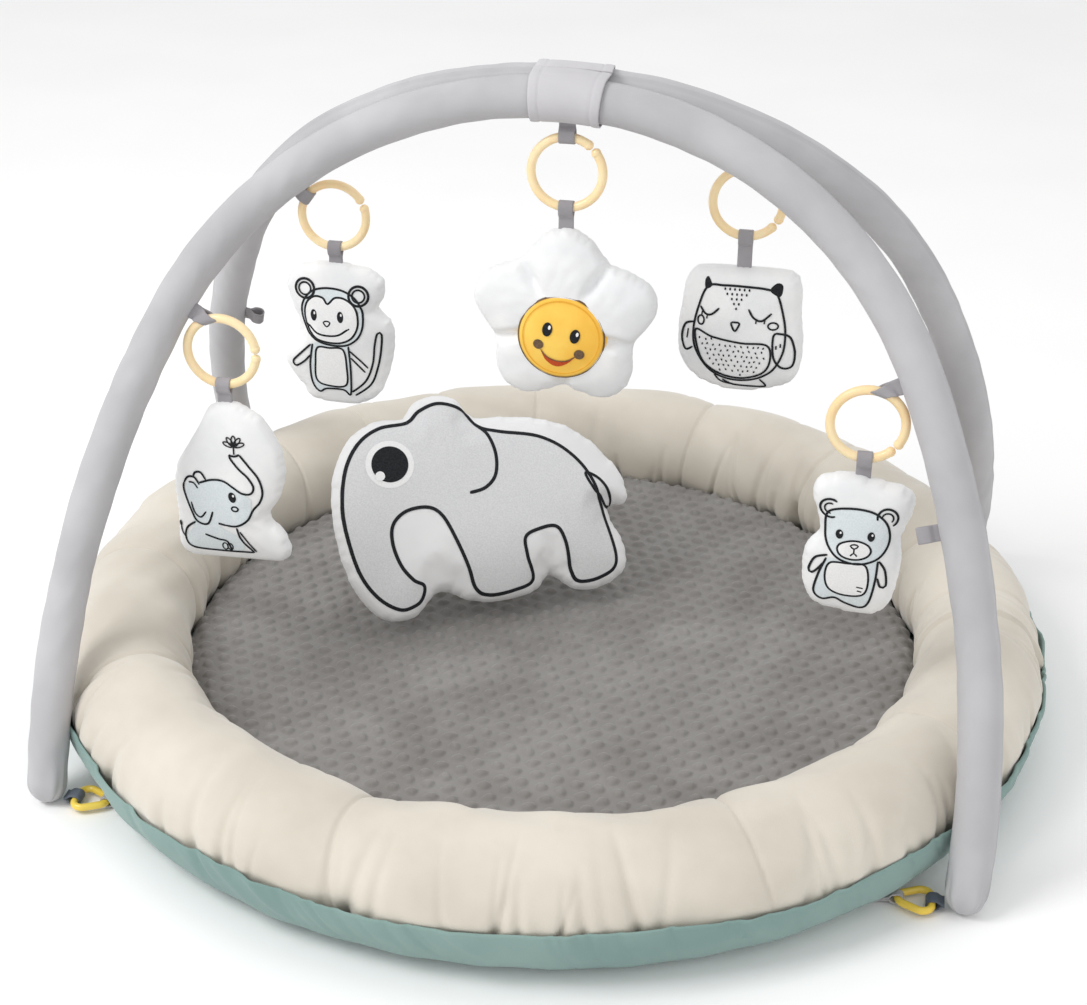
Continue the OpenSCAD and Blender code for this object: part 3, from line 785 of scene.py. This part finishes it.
def inside(points, polygon):
    """Which points lie inside a polygon."""
    x, y = points[:, 0], points[:, 1]
    hit = np.zeros(len(points), bool)
    a, b = polygon, np.roll(polygon, -1, 0)
    for (x1, y1), (x2, y2) in zip(a, b):
        crosses = (y1 > y) != (y2 > y)
        with np.errstate(divide="ignore", invalid="ignore"):
            hit ^= crosses & (x < (x2 - x1) * (y - y1) / (y2 - y1) + x1)
    return hit


def edge_distance(points, polygon):
    best = np.full(len(points), 1e9)
    for a, b in zip(polygon, np.roll(polygon, -1, 0)):
        t = np.clip(((points - a) @ (b - a)) / max((b - a) @ (b - a), 1e-12), 0, 1)
        best = np.minimum(best, np.linalg.norm(points - a - t[:, None] * (b - a), axis=1))
    return best


def filled(polygon, step):
    """Points that fill a polygon about every step, and the triangles between them."""
    low, high = polygon.min(0), polygon.max(0)
    xs = np.arange(low[0], high[0], step)
    ys = np.arange(low[1], high[1], step * 0.866)
    grid = np.array([(x + (step / 2 if k % 2 else 0), y) for k, y in enumerate(ys) for x in xs])
    grid = grid[inside(grid, polygon)]
    grid = grid[edge_distance(grid, polygon) > step * 0.55]
    points = [Vector(p) for p in np.concatenate([polygon, grid])]
    n = len(polygon)
    edges = [(i, (i + 1) % n) for i in range(n)]
    verts, _, faces, *_ = delaunay_2d_cdt(points, edges, [], 1, 1e-7)
    return np.array([tuple(v) for v in verts]), np.array([tuple(f) for f in faces if len(f) == 3])


CLOTH_FRAMES = 24
CLOTH_PRESSURE = 2.2


def inflate(mesh_object):
    """Blows a thin closed shape up as cloth, so that its seams pucker. Returns where its points end up."""
    cloth = mesh_object.modifiers.new("cloth", "CLOTH")
    cloth.settings.use_pressure = True
    cloth.settings.uniform_pressure_force = CLOTH_PRESSURE
    cloth.settings.mass = 0.15
    cloth.settings.quality = 6
    cloth.settings.tension_stiffness = 40
    cloth.settings.compression_stiffness = 40
    cloth.settings.shear_stiffness = 20
    cloth.settings.bending_stiffness = 0.2
    cloth.settings.air_damping = 4
    cloth.settings.effector_weights.gravity = 0
    cloth.collision_settings.use_collision = False
    cloth.point_cache.frame_start = 1
    cloth.point_cache.frame_end = CLOTH_FRAMES
    for f in range(1, CLOTH_FRAMES + 1):
        bpy.context.scene.frame_set(f)
    solid = mesh_object.evaluated_get(bpy.context.evaluated_depsgraph_get())
    co = points_of(solid.data)
    mesh_object.modifiers.remove(cloth)
    bpy.context.scene.frame_set(1)
    return co


def cushion(name, outline, thick, step):
    """A stuffed shape with a seam round its edge, around the outline's own plane. Returns its object."""
    polygon = smooth_line(outline, step, True)
    flat, triangles = filled(polygon, step)
    depth = edge_distance(flat, polygon)
    wide = depth.max()
    full = np.sqrt(np.clip(1 - (1 - np.clip(depth / (wide * 0.95), 0, 1)) ** 2, 0, 1))
    count = len(flat)
    on_edge = depth < 1e-6
    back_of = np.where(on_edge, np.arange(count), np.cumsum(~on_edge) - 1 + count)
    height = thick / 2 * (0.25 + 0.75 * full) * (depth > 1e-6)
    front = np.column_stack([flat, height])
    behind = np.column_stack([flat, -height])[~on_edge]
    points = np.concatenate([front, behind])
    faces = np.concatenate([triangles, back_of[triangles][:, ::-1]])
    mesh = mesh_from(name, points, faces)
    made = link(name, mesh)
    size0 = points.max(0) - points.min(0)
    co = inflate(made)
    centre0 = (points.max(0) + points.min(0)) / 2
    centre = (co.max(0) + co.min(0)) / 2
    size = co.max(0) - co.min(0)
    co = (co - centre) * (size0[0] / size[0], size0[1] / size[1], thick / size[2]) + (*centre0[:2], 0)
    set_points(mesh, co)
    smooth = made.modifiers.new("smooth", "SUBSURF")
    smooth.levels = 1
    result = bpy.data.meshes.new_from_object(made.evaluated_get(bpy.context.evaluated_depsgraph_get()))
    made.modifiers.clear()
    made.data = result
    result.name = name
    result.polygons.foreach_set("use_smooth", np.full(len(result.polygons), True))
    return made


LINE_STEP = 0.0016
PATCH_STEP = 0.0028
PATCH_LIFT = 0.0003
GREY_LIFT = 0.0004
WHITE_LIFT = 0.0005
LINE_LIFT = 0.0006
SPOT_LIFT = 0.0007
GLINT_LIFT = 0.0010


def turned_ellipse(x, y, rx, ry, angles, turn):
    c, s = math.cos(turn), math.sin(turn)
    px, py = rx * np.cos(angles), ry * np.sin(angles)
    return np.stack([x + px * c - py * s, y + px * s + py * c], -1)


class Print:
    """Line art on the front of a cushion: flat ribbons and patches that follow its surface."""

    def __init__(self, base, scale=MM, shift=(0.0, 0.0), turn=0.0):
        data = base.data
        data.calc_loop_triangles()
        triangles = [tuple(t.vertices) for t in data.loop_triangles]
        self.tree = BVHTree.FromPolygons([tuple(c) for c in points_of(data)], triangles)
        self.scale = scale
        self.shift = np.array(shift)
        c, s = math.cos(turn), math.sin(turn)
        self.turn = np.array([[c, s], [-s, c]])
        self.parts = {}

    def drop(self, points, lift):
        out = []
        for x, y in points:
            hit, normal, *_ = self.tree.ray_cast(Vector((x, y, 1.0)), Vector((0, 0, -1)))
            if hit is None:
                hit, normal, *_ = self.tree.find_nearest(Vector((x, y, 0.02)))
            if normal.z < 0:
                normal = -normal
            out.append(tuple(hit + normal * lift))
        return np.array(out)

    def local(self, points):
        return (np.asarray(points, float) @ self.turn + self.shift) * self.scale

    def add(self, material, points, faces):
        self.parts.setdefault(material.name, []).append((points, faces))

    def line(self, points, width=2.0, closed=False, material=INK, lift=LINE_LIFT):
        p = smooth_line(self.local(points), LINE_STEP, closed)
        tangent = unit(np.roll(p, -1, 0) - np.roll(p, 1, 0)) if closed else unit(np.gradient(p, axis=0))
        normal = np.stack([-tangent[:, 1], tangent[:, 0]], -1)
        taper = np.ones(len(p))
        if not closed and len(p) > 6:
            taper[:2] = (0.55, 0.85)
            taper[-2:] = (0.85, 0.55)
        offsets = np.array([-0.5, 0.0, 0.5]) * (width * MM)
        rows = p[:, None] + normal[:, None] * (offsets[None, :, None] * taper[:, None, None])
        top = self.drop(rows.reshape(-1, 2), lift)
        self.add(material, top, grid_faces(len(p), 3, closed)[:, ::-1])

    def patch(self, points, material=PALE_INK, lift=PATCH_LIFT, step=PATCH_STEP):
        flat, triangles = filled(smooth_line(self.local(points), LINE_STEP, True), step)
        top = self.drop(flat, lift)
        a, b, c = (flat[triangles[:, k]] for k in range(3))
        turned = (b[:, 0] - a[:, 0]) * (c[:, 1] - a[:, 1]) - (b[:, 1] - a[:, 1]) * (c[:, 0] - a[:, 0]) < 0
        triangles[turned] = triangles[turned][:, ::-1]
        self.add(material, top, np.column_stack([triangles, triangles[:, 2]]))

    def ellipse(self, x, y, rx, ry, material=INK, lift=SPOT_LIFT, turn=0.0, step=0.002):
        a = np.arange(20) * TAU / 20
        self.patch(turned_ellipse(x, y, rx, ry, a, turn), material, lift, step)

    def oval(self, x, y, rx, ry, width=1.6, turn=0.0, material=INK, start=0.0, end=TAU):
        whole = end - start > TAU - 0.01
        a = np.linspace(start, end, 14, endpoint=not whole)
        self.line(turned_ellipse(x, y, rx, ry, a, turn), width, whole, material)

    def finish(self, name):
        """One object for each ink, in the cushion's own place."""
        made = []
        for ink, parts in self.parts.items():
            mesh = mesh_from_mixed(f"{name}_{ink}", *join_parts(parts))
            made.append(link(f"{name}_{ink}", mesh, bpy.data.materials[ink]))
        return made


def settle(objects, turn, at):
    """Moves meshes from their own plane to their place."""
    turn, at = np.asarray(turn, float), np.asarray(at, float)
    for o in objects:
        set_points(o.data, points_of(o.data) @ turn.T + at)


FACING_FRONT = np.array([[1, 0, 0], [0, 0, -1], [0, 1, 0]], float)
TOY_STEP = 0.0042
ART_SCALE = 0.94


def hang_toy(toy, outline, draw):
    """A plush toy in the space of its cover, with its print."""
    low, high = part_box(f"{toy}_cover")
    width, height, thick = high.x - low.x, high.z - low.z, high.y - low.y
    outline = np.array(outline, float)
    span = outline.max(0) - outline.min(0)
    middle = (outline.max(0) + outline.min(0)) / 2
    stretch = np.array([width, height]) / span
    piece = cushion(f"{toy}_plush", (outline - middle) * stretch, thick, TOY_STEP)
    piece.data.materials.append(PLUSH)
    art = Print(piece, ART_SCALE * stretch, -middle)
    draw(art)
    prints = art.finish(toy)
    settle([piece, *prints], FACING_FRONT, (low + high) / 2)
    place(piece, f"{toy}_toy", "white_plush", f"{toy}_cover", f"{toy}_filling")
    for o in prints:
        place(o, f"{toy}_toy", "white_plush")


ELEPHANT_EDGE = [(0, 80), (20, 75), (38, 60), (50, 36), (53, 10), (47, -14), (39, -32), (50, -52),
                 (54, -68), (46, -79), (16, -80), (-20, -80), (-44, -79), (-54, -66), (-53, -40),
                 (-54, -10), (-50, 14), (-38, 34), (-26, 54), (-16, 73)]


def draw_elephant(art):
    head = [(-27, 2), (-14, 7), (-2, 7), (8, 1), (16, -4), (24, -4), (27, 3), (22, 13), (14, 21), (7, 30),
            (5, 35)]
    trunk = [(15, 36), (24, 24), (32, 12), (35, -2), (32, -13), (25, -22), (19, -33), (8, -40), (-3, -40)]
    ear = [(-43, 0), (-44, -8), (-38, -28), (-32, -40), (-21, -41), (-15, -27)]
    back = [(-34, -41), (-44, -50), (-46, -62), (-38, -70), (-10, -71), (22, -70)]
    leg = [(8, -42), (12, -56), (23, -70)]
    art.patch([(-27, 2), (-14, 7), (0, 7), (16, -4), (24, -12), (20, -30), (6, -40), (-8, -42), (8, -52),
               (14, -66), (0, -70), (-38, -69), (-45, -58), (-36, -44), (-42, -14), (-40, 0)], PALE_INK)
    art.line(head)
    art.line(trunk)
    art.line([(5, 35), (10, 34), (15, 36)])
    art.line(ear)
    art.line([(-43, 0), (-39, 6), (-32, 7), (-27, 0)])
    art.line([(-33, 7), (-31, 12), (-25, 13), (-20, 6)])
    art.line([(-38, 1), (-33, 1), (-29, -4)], 1.5)
    art.line([(-37, -20), (-34, -31), (-28, -35), (-22, -28)], 1.7)
    art.line([(-3, -40), (-10, -39)])
    art.line(back)
    art.line(leg)
    art.line([(11, -46), (18, -58), (25, -69)], 1.6)
    art.line([(-25, -53), (-12, -57), (-3, -59), (0, -70)])
    for x in (-6, -1):
        art.oval(x, -65, 2.6, 4.0, 1.3)
    art.line([(-45, -62), (-50, -55), (-51, -48)], 1.5)
    art.ellipse(-51, -47, 1.6, 3.0)
    art.ellipse(6, -9, 3.8, 5.4, turn=0.2)
    art.ellipse(7.2, -7, 1.0, 1.3, WHITE_INK, GLINT_LIFT)
    art.oval(8, -21, 3.2, 2.4)
    for k in range(5):
        a = math.radians(18 + 36 * k)
        art.oval(10 + 5.6 * math.cos(a), 44 + 5.6 * math.sin(a), 5.0, 2.0, 1.3, a)
    art.line([(10, 36), (10, 44)], 1.4)


BEAR_EDGE = [(-4, 67), (-24, 66), (-38, 60), (-41, 46), (-36, 26), (-34, 10), (-42, 0), (-46, -16),
             (-44, -40), (-36, -58), (-18, -65), (4, -67), (22, -66), (34, -52), (38, -30), (40, -8),
             (38, 10), (44, 30), (46, 48), (36, 58), (16, 62)]


def draw_bear(art):
    head = [(-28, 36), (-18, 42), (0, 43), (16, 39), (26, 28), (28, 10), (20, -5), (3, -12), (-15, -8),
            (-26, 4), (-29, 20)]
    body = [(-26, -9), (-32, -27), (-35, -46), (-27, -53), (-16, -50), (-6, -55), (8, -59), (15, -52),
            (19, -30), (20, -8)]
    art.patch(head, PALE_INK)
    art.patch([*body, (4, -13), (-14, -10)], PALE_INK)
    belly = [(-22, -13), (-6, -12), (9, -13), (13, -30), (9, -44), (-8, -46), (-22, -40), (-26, -26)]
    art.patch(belly, WHITE_INK, WHITE_LIFT)
    art.line(head, closed=True)
    art.line(body)
    art.line(belly, 1.8, True)
    for x, y, start in ((-26, 41, 0.9), (25, 36, -1.0)):
        art.oval(x, y, 9, 9, 2.0, start=start, end=start + 4.4)
        art.oval(x, y, 5, 5, 1.5, start=start + 0.2, end=start + 4.0)
    for x in (-16, 12):
        art.ellipse(x, 17, 3.3, 4.8)
        art.ellipse(x + 1.0, 18.8, 0.9, 1.2, WHITE_INK, GLINT_LIFT)
    art.ellipse(-2, 2, 14.5, 9.2, WHITE_INK, WHITE_LIFT)
    art.oval(-2, 2, 15, 9.6, 1.8)
    art.line([(-5.5, 6.5), (-2, 8), (1.5, 6.5), (-2, 3.4)], 1.5, True)
    art.line([(-2, 3.4), (-2, -1.0)], 1.4)
    art.line([(-5, -4), (-2, -1), (1, -4)], 1.4)
    art.line([(-25, -6), (-36, -11), (-41, -24), (-38, -27), (-33, -22), (-28, -14)])
    art.line([(21, -8), (27, -18), (29, -34), (24, -35), (21, -26)])
    art.line([(4, -40), (8, -41)], 1.3)
    art.line([(3, -36), (9, -37)], 1.3)


MONKEY_EDGE = [(-4, 74), (14, 73), (32, 70), (46, 60), (48, 44), (44, 30), (50, 22), (56, 10), (55, -14),
               (48, -42), (36, -64), (16, -74), (-10, -74), (-30, -71), (-40, -56), (-52, -40), (-56, -24),
               (-46, -8), (-42, 10), (-47, 30), (-50, 50), (-40, 67), (-22, 73)]


def draw_monkey(art):
    head = [(-33, 36), (-34, 20), (-28, 5), (-16, -4), (0, -7), (14, -5), (25, 4), (30, 18), (29, 34),
            (22, 46), (8, 53), (-10, 54), (-24, 49)]
    face = [(-6, 38), (2, 45), (13, 44), (23, 35), (25, 18), (19, 4), (8, -3), (-6, -4), (-20, 0), (-29, 12),
            (-31, 26), (-28, 38), (-20, 45), (-11, 44)]
    body = [(-24, -7), (-28, -31), (-27, -52), (-20, -62), (-12, -58), (6, -58), (13, -63), (15, -36),
            (14, -7)]
    belly = [(-19, -11), (-6, -10), (8, -11), (11, -30), (9, -52), (-10, -54), (-22, -48), (-22, -28)]
    art.patch(head, PALE_INK)
    art.patch(face, WHITE_INK, WHITE_LIFT)
    art.patch(body, PALE_INK)
    art.patch(belly, WHITE_INK, WHITE_LIFT)
    for x, y in ((-30, 52), (26, 48)):
        art.oval(x, y, 10, 10, 2.4)
        art.oval(x, y, 6.4, 6.4, 1.8)
    art.line(head, closed=True)
    art.line(face, 2.0, True)
    art.line(body)
    art.line(belly, 2.0, True)
    for x in (-21, 7):
        art.ellipse(x, 25, 3.3, 6.2)
        art.ellipse(x + 1.0, 27.5, 0.9, 1.6, WHITE_INK, GLINT_LIFT)
    art.line([(-11, 18), (-7.5, 19.5), (-4, 18), (-7.5, 13.5)], 1.5, True)
    art.line([(-27, 13), (-19, 6), (-8, 3.5), (4, 5), (14, 12)])
    art.line([(-29, 14), (-26, 11)], 1.4)
    art.line([(12, 10), (16, 13)], 1.4)
    art.line([(-26, -8), (-38, -20), (-47, -30), (-44, -35), (-34, -28), (-27, -20)])
    art.line([(15, -12), (27, -24), (33, -31)], 1.8)
    art.line([(16, -20), (24, -29), (30, -36)], 1.8)
    art.line([(15, -60), (30, -46), (38, -26), (41, -4), (44, 8), (48, 7), (47, -10), (43, -30), (35, -50),
              (18, -64)])


OWL_EDGE = [(0, 61), (24, 61), (46, 58), (54, 46), (55, 20), (58, -6), (57, -34), (48, -50), (26, -58),
            (2, -61), (-22, -58), (-42, -48), (-55, -30), (-58, -4), (-55, 22), (-52, 44), (-44, 57),
            (-24, 61)]


def draw_owl(art):
    body = [(-32, 47), (-16, 49), (4, 49), (24, 48), (34, 44), (41, 22), (44, 2), (42, -18), (32, -36),
            (14, -46), (-8, -47), (-27, -38), (-41, -18), (-44, 2), (-40, 26)]
    belly = [(-42, 2), (-25, -3), (2, -7), (27, -8), (31, -24), (24, -38), (4, -45), (-18, -41), (-35, -27)]
    art.line(body, closed=True)
    art.line(belly, 1.9, True)
    art.patch([(-34, 45), (-35, 53), (-32, 56), (-28, 48)], INK)
    art.patch([(27, 47), (33, 54), (39, 52), (37, 42)], INK)
    art.line([(-38, 27), (-33, 20), (-27, 20), (-20, 27)])
    art.line([(8, 28), (13, 20), (21, 17), (30, 25)])
    for x, y in ((-31, 19), (-36, 22), (16, 18), (24, 18)):
        art.line([(x, y), (x - 0.6, y - 4)], 1.3)
    art.oval(-37, 13, 3, 4.6)
    art.oval(32, 12, 4.8, 3.6)
    art.line([(-8, 13), (-4, 14), (0, 13), (-4, 5)], 1.8, True)
    for row, count in enumerate((6, 5, 3, 2, 1)):
        for k in range(count):
            art.ellipse(-4 + 4.6 * (k - (count - 1) / 2), 46 - 4.6 * row, 0.9, 1.3)
    outline = np.array(belly, float)
    spots = np.array([(x + (2.6 if k % 2 else 0), y) for k, y in enumerate(np.arange(-42, 0, 5.2))
                      for x in np.arange(-40, 32, 5.4)])
    spots = spots[inside(spots, outline)]
    spots = spots[edge_distance(spots, outline) > 2.6]
    for k, (x, y) in enumerate(spots):
        turn = 0.6 * math.sin(7 * k)
        art.ellipse(x + 0.8 * math.sin(5 * k), y + 0.6 * math.cos(3 * k), 0.75, 1.25, turn=turn)
    art.line([(33, 2), (40, 4), (49, 0), (54, -16), (52, -30), (42, -31), (34, -20)], closed=True)
    art.line([(40, -6), (40, -10)], 1.4)
    art.line([(36, -8), (36, -12)], 1.4)
    art.line([(-44, 10), (-52, 6), (-55, -8), (-51, -20), (-44, -16)])
    art.line([(-49, 2), (-50, -8)], 1.3)
    art.line([(-14, -48), (-4, -53), (14, -54), (28, -53), (22, -45)], 1.8)
    art.line([(-22, -43), (-16, -50), (-6, -53)], 1.6)


STAR_LOBES = 5


def star_edge():
    low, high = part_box("star_cover")
    w, h = (high.x - low.x) / 2 / MM, (high.z - low.z) / 2 / MM
    out = []
    for k in range(60):
        a = k * TAU / 60
        lobe = 0.5 + 0.5 * math.cos(STAR_LOBES * (a - math.pi / 2))
        r = 0.80 + 0.20 * lobe**0.9
        out.append((w * r * math.cos(a) * 1.04, h * r * math.sin(a)))
    return out


def pinch_star(piece):
    """Sews the star's lobes apart: seams run from the notches to the face."""
    co = points_of(piece.data)
    angle = np.arctan2(co[:, 1], co[:, 0])
    r = np.hypot(co[:, 0], co[:, 1])
    step = TAU / STAR_LOBES
    away = np.abs((angle - math.pi / 2) % step - step / 2) * r
    outer = np.clip((r - 0.026) / 0.02, 0, 1)
    co[:, 2] *= 1 - 0.5 * np.exp(-(away / 0.005) ** 2) * outer
    crease = ripple(r + 0.02 * np.cos(3 * angle), 61, 0.03) * ripple(angle * 0.05, 62, 0.03)
    co[:, 2] *= 1 + 0.05 * crease * outer
    set_points(piece.data, co)


def build_star():
    low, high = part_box("star_cover")
    piece = cushion("star_plush", np.array(star_edge()) * MM, high.y - low.y, TOY_STEP)
    pinch_star(piece)
    piece.data.materials.append(PLUSH)
    face_low, face_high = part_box("star_face")
    radius = (face_high.x - face_low.x) / 2
    middle = (low + high) / 2
    drop = (face_high.z + face_low.z) / 2 - middle.z
    rings, around = 30, 96
    r = np.linspace(0.0008, 1, rings)[:, None]
    a = (np.arange(around) * TAU / around)[None, :]
    lift = (high.y - low.y) / 2 - 0.0012
    dome = 0.0085 * np.sqrt(np.clip(1 - r**2, 0, 1)) + 0.0012 * np.exp(-((r - 0.9) / 0.05) ** 2)
    x, y, z = radius * r * np.cos(a), radius * r * np.sin(a) + drop, lift - 0.0035 + dome + 0 * a
    top = np.stack([x, y, z], -1)
    skirt = top[-1:].copy()
    skirt[..., 2] -= 0.006
    points = np.concatenate([top, skirt])
    centre = np.array([[0, drop, float(z[0, 0])]])
    faces = grid_faces(rings + 1, around, False, True)
    count = (rings + 1) * around
    one = np.arange(around)
    following = (one + 1) % around
    hub = np.stack([np.full(around, count), one, following, following], -1)
    all_points = np.concatenate([points.reshape(-1, 3), centre])
    mesh = mesh_from_mixed("star_sun", all_points, np.concatenate([faces, hub]))
    sun = link("star_sun", mesh, SUN)
    art = Print(sun, MM, (0, drop / MM), math.radians(-11))
    edge = radius / MM
    art.oval(0, 0, edge - 2.0, edge - 2.0, 1.2, material=BROWN_INK)
    art.oval(0, 0, edge - 6, edge - 6, 0.8, material=ORANGE_INK)
    for x in (-13, 12):
        art.ellipse(x, 6, 4.4, 6.6)
        art.ellipse(x + 1.6, 8.4, 1.2, 2.0, WHITE_INK, GLINT_LIFT)
    for x in (-18, 19):
        art.ellipse(x, -10, 4.6, 4.6, BROWN_INK)
        art.oval(x, -10, 2.2, 2.2, 0.7, material=ORANGE_INK)
    art.patch([(-15, -14), (-9, -19), (0, -21), (9, -19), (16, -13), (10, -22), (1, -27), (-9, -23)],
               RED_INK, GREY_LIFT)
    art.line([(-15, -14), (-9, -19), (0, -21), (9, -19), (16, -13)], 1.0, material=BROWN_INK, lift=GLINT_LIFT)
    prints = art.finish("star")
    settle([piece, sun, *prints], FACING_FRONT, middle)
    place(piece, "star_toy", "white_plush", "star_cover", "star_filling")
    place(sun, "star_toy", "yellow_velour", "star_face")
    for o in prints:
        place(o, "star_toy", "yellow_velour")


# ---------- pillow ----------

PILLOW_LEAN = math.radians(32)
PILLOW_TURN = math.radians(28)
PILLOW_FOOT = np.array([-0.054, 0.014, MAT_TOP + 0.009])
PILLOW_T = 0.064
PILLOW_STEP = 0.0065
PILLOW_EDGE = [
    (-82, 4), (-94, 0), (-112, 2), (-130, 14), (-144, 40), (-152, 80), (-152, 116), (-145, 152), (-126, 182),
    (-96, 198), (-72, 200), (-60, 211), (-34, 217), (-12, 209), (2, 194), (40, 188), (82, 176), (112, 156),
    (136, 128), (148, 100), (144, 86), (128, 80), (136, 40), (130, 16), (104, 2), (76, 2), (50, 14), (38, 4),
    (2, 0), (-30, 4), (-52, 14), (-66, 14)]


def draw_pillow(art):
    body = [(-68, 190), (-96, 188), (-118, 176), (-134, 152), (-142, 118), (-141, 84), (-134, 50),
            (-120, 26), (-102, 13), (-88, 14), (-79, 20), (-76, 32), (-86, 39), (-96, 54), (-101, 76),
            (-98, 94), (-84, 105), (-63, 106), (-50, 96), (-40, 71), (-31, 43), (-25, 22), (-12, 14),
            (12, 15), (32, 22), (28, 46), (28, 64), (42, 70), (60, 70), (68, 54), (72, 26), (80, 14),
            (102, 15), (119, 26), (117, 57), (106, 110), (88, 140), (60, 160), (20, 170), (0, 178),
            (-12, 196), (-34, 205), (-54, 200)]
    art.patch(body, GREY_INK, GREY_LIFT)
    art.line(body, 3.4, True)
    art.line([(0, 178), (8, 168), (12, 148), (8, 128), (-4, 117), (-20, 114)], 3.4)
    tail = [(100, 118), (112, 112), (121, 99), (125, 84), (118, 83), (113, 93), (105, 103)]
    art.patch(tail, GREY_INK, GREY_LIFT)
    art.line(tail, 3.0, True)
    art.ellipse(-92, 152, 23, 23, WHITE_INK, step=0.003)
    art.ellipse(-92, 152, 17.5, 17.5, INK, GLINT_LIFT, step=0.003)
    art.ellipse(-103, 142, 4.6, 4.6, WHITE_INK, 0.0013)


def build_pillow():
    piece = cushion("pillow_cushion", np.array(PILLOW_EDGE, float) * MM, PILLOW_T, PILLOW_STEP)
    piece.data.materials.append(COTTON)
    art = Print(piece)
    draw_pillow(art)
    prints = art.finish("pillow")
    tip = math.pi / 2 - PILLOW_LEAN
    lean = np.array([[1, 0, 0], [0, math.cos(tip), -math.sin(tip)], [0, math.sin(tip), math.cos(tip)]])
    c, s = math.cos(PILLOW_TURN), math.sin(PILLOW_TURN)
    turn = np.array([[c, -s, 0], [s, c, 0], [0, 0, 1]])
    settle([piece, *prints], turn @ lean, PILLOW_FOOT)
    place(piece, "pillow", "printed_cotton", "pillow_cover", "pillow_filling")
    for o in prints:
        place(o, "pillow", "printed_cotton")


# ---------- stage ----------


FLOOR = [(-6, -6, 0), (6, -6, 0), (6, 6, 0), (-6, 6, 0)]
LAMPS = (("key", (-1.8, -1.2, 2.4), 1.2, 40), ("fill", (2.4, -1.4, 1.8), 2.2, 5),
         ("top", (0.2, 0.8, 3.0), 2.4, 8))


def add_stage():
    mesh = mesh_from("floor", FLOOR, [(0, 1, 2, 3)])
    paint = Surface("floor_paint", (0.86, 0.86, 0.86), 0.9)
    paint.vary_colour(paint.noise(3), (0.95, 0.95, 0.95), (0.97, 0.97, 0.97))
    material = paint.material
    link("floor", mesh, material)
    world = bpy.data.worlds.new("studio")
    bpy.context.scene.world = world
    world.use_nodes = True
    background = world.node_tree.nodes["Background"].inputs
    background["Color"].default_value = (1.0, 1.0, 1.0, 1)
    background["Strength"].default_value = 0.80
    for name, place_at, size, power in LAMPS:
        data = bpy.data.lights.new(name, "AREA")
        data.size = size
        data.energy = power
        light = bpy.data.objects.new(name, data)
        light.location = place_at
        light.rotation_euler = (Vector((0, 0, 0.2)) - Vector(place_at)).to_track_quat("-Z", "Y").to_euler()
        bpy.context.scene.collection.objects.link(light)
    bpy.context.scene.view_settings.view_transform = "Standard"


build_bolster()
build_base()
build_mat()
for arch, arch_seed in (("front", 51), ("back", 71)):
    build_sleeve(arch, arch_seed)
    build_wrap(arch)
    for inner, inner_material in (("rod", ROD), ("ferrules", FERRULE), ("rod_caps", CAP)):
        give_material(f"{arch}_{inner}", inner_material)
    for hand_name in ("left", "right"):
        build_foot(arch, hand_name)
build_arch_loops()
build_spare_loops()
build_tags()
for toy_name in TOYS:
    give_material(f"{toy_name}_ring", PEACH)
hang_toy("elephant", ELEPHANT_EDGE, draw_elephant)
hang_toy("bear", BEAR_EDGE, draw_bear)
hang_toy("monkey", MONKEY_EDGE, draw_monkey)
hang_toy("owl", OWL_EDGE, draw_owl)
build_star()
build_pillow()
add_stage()
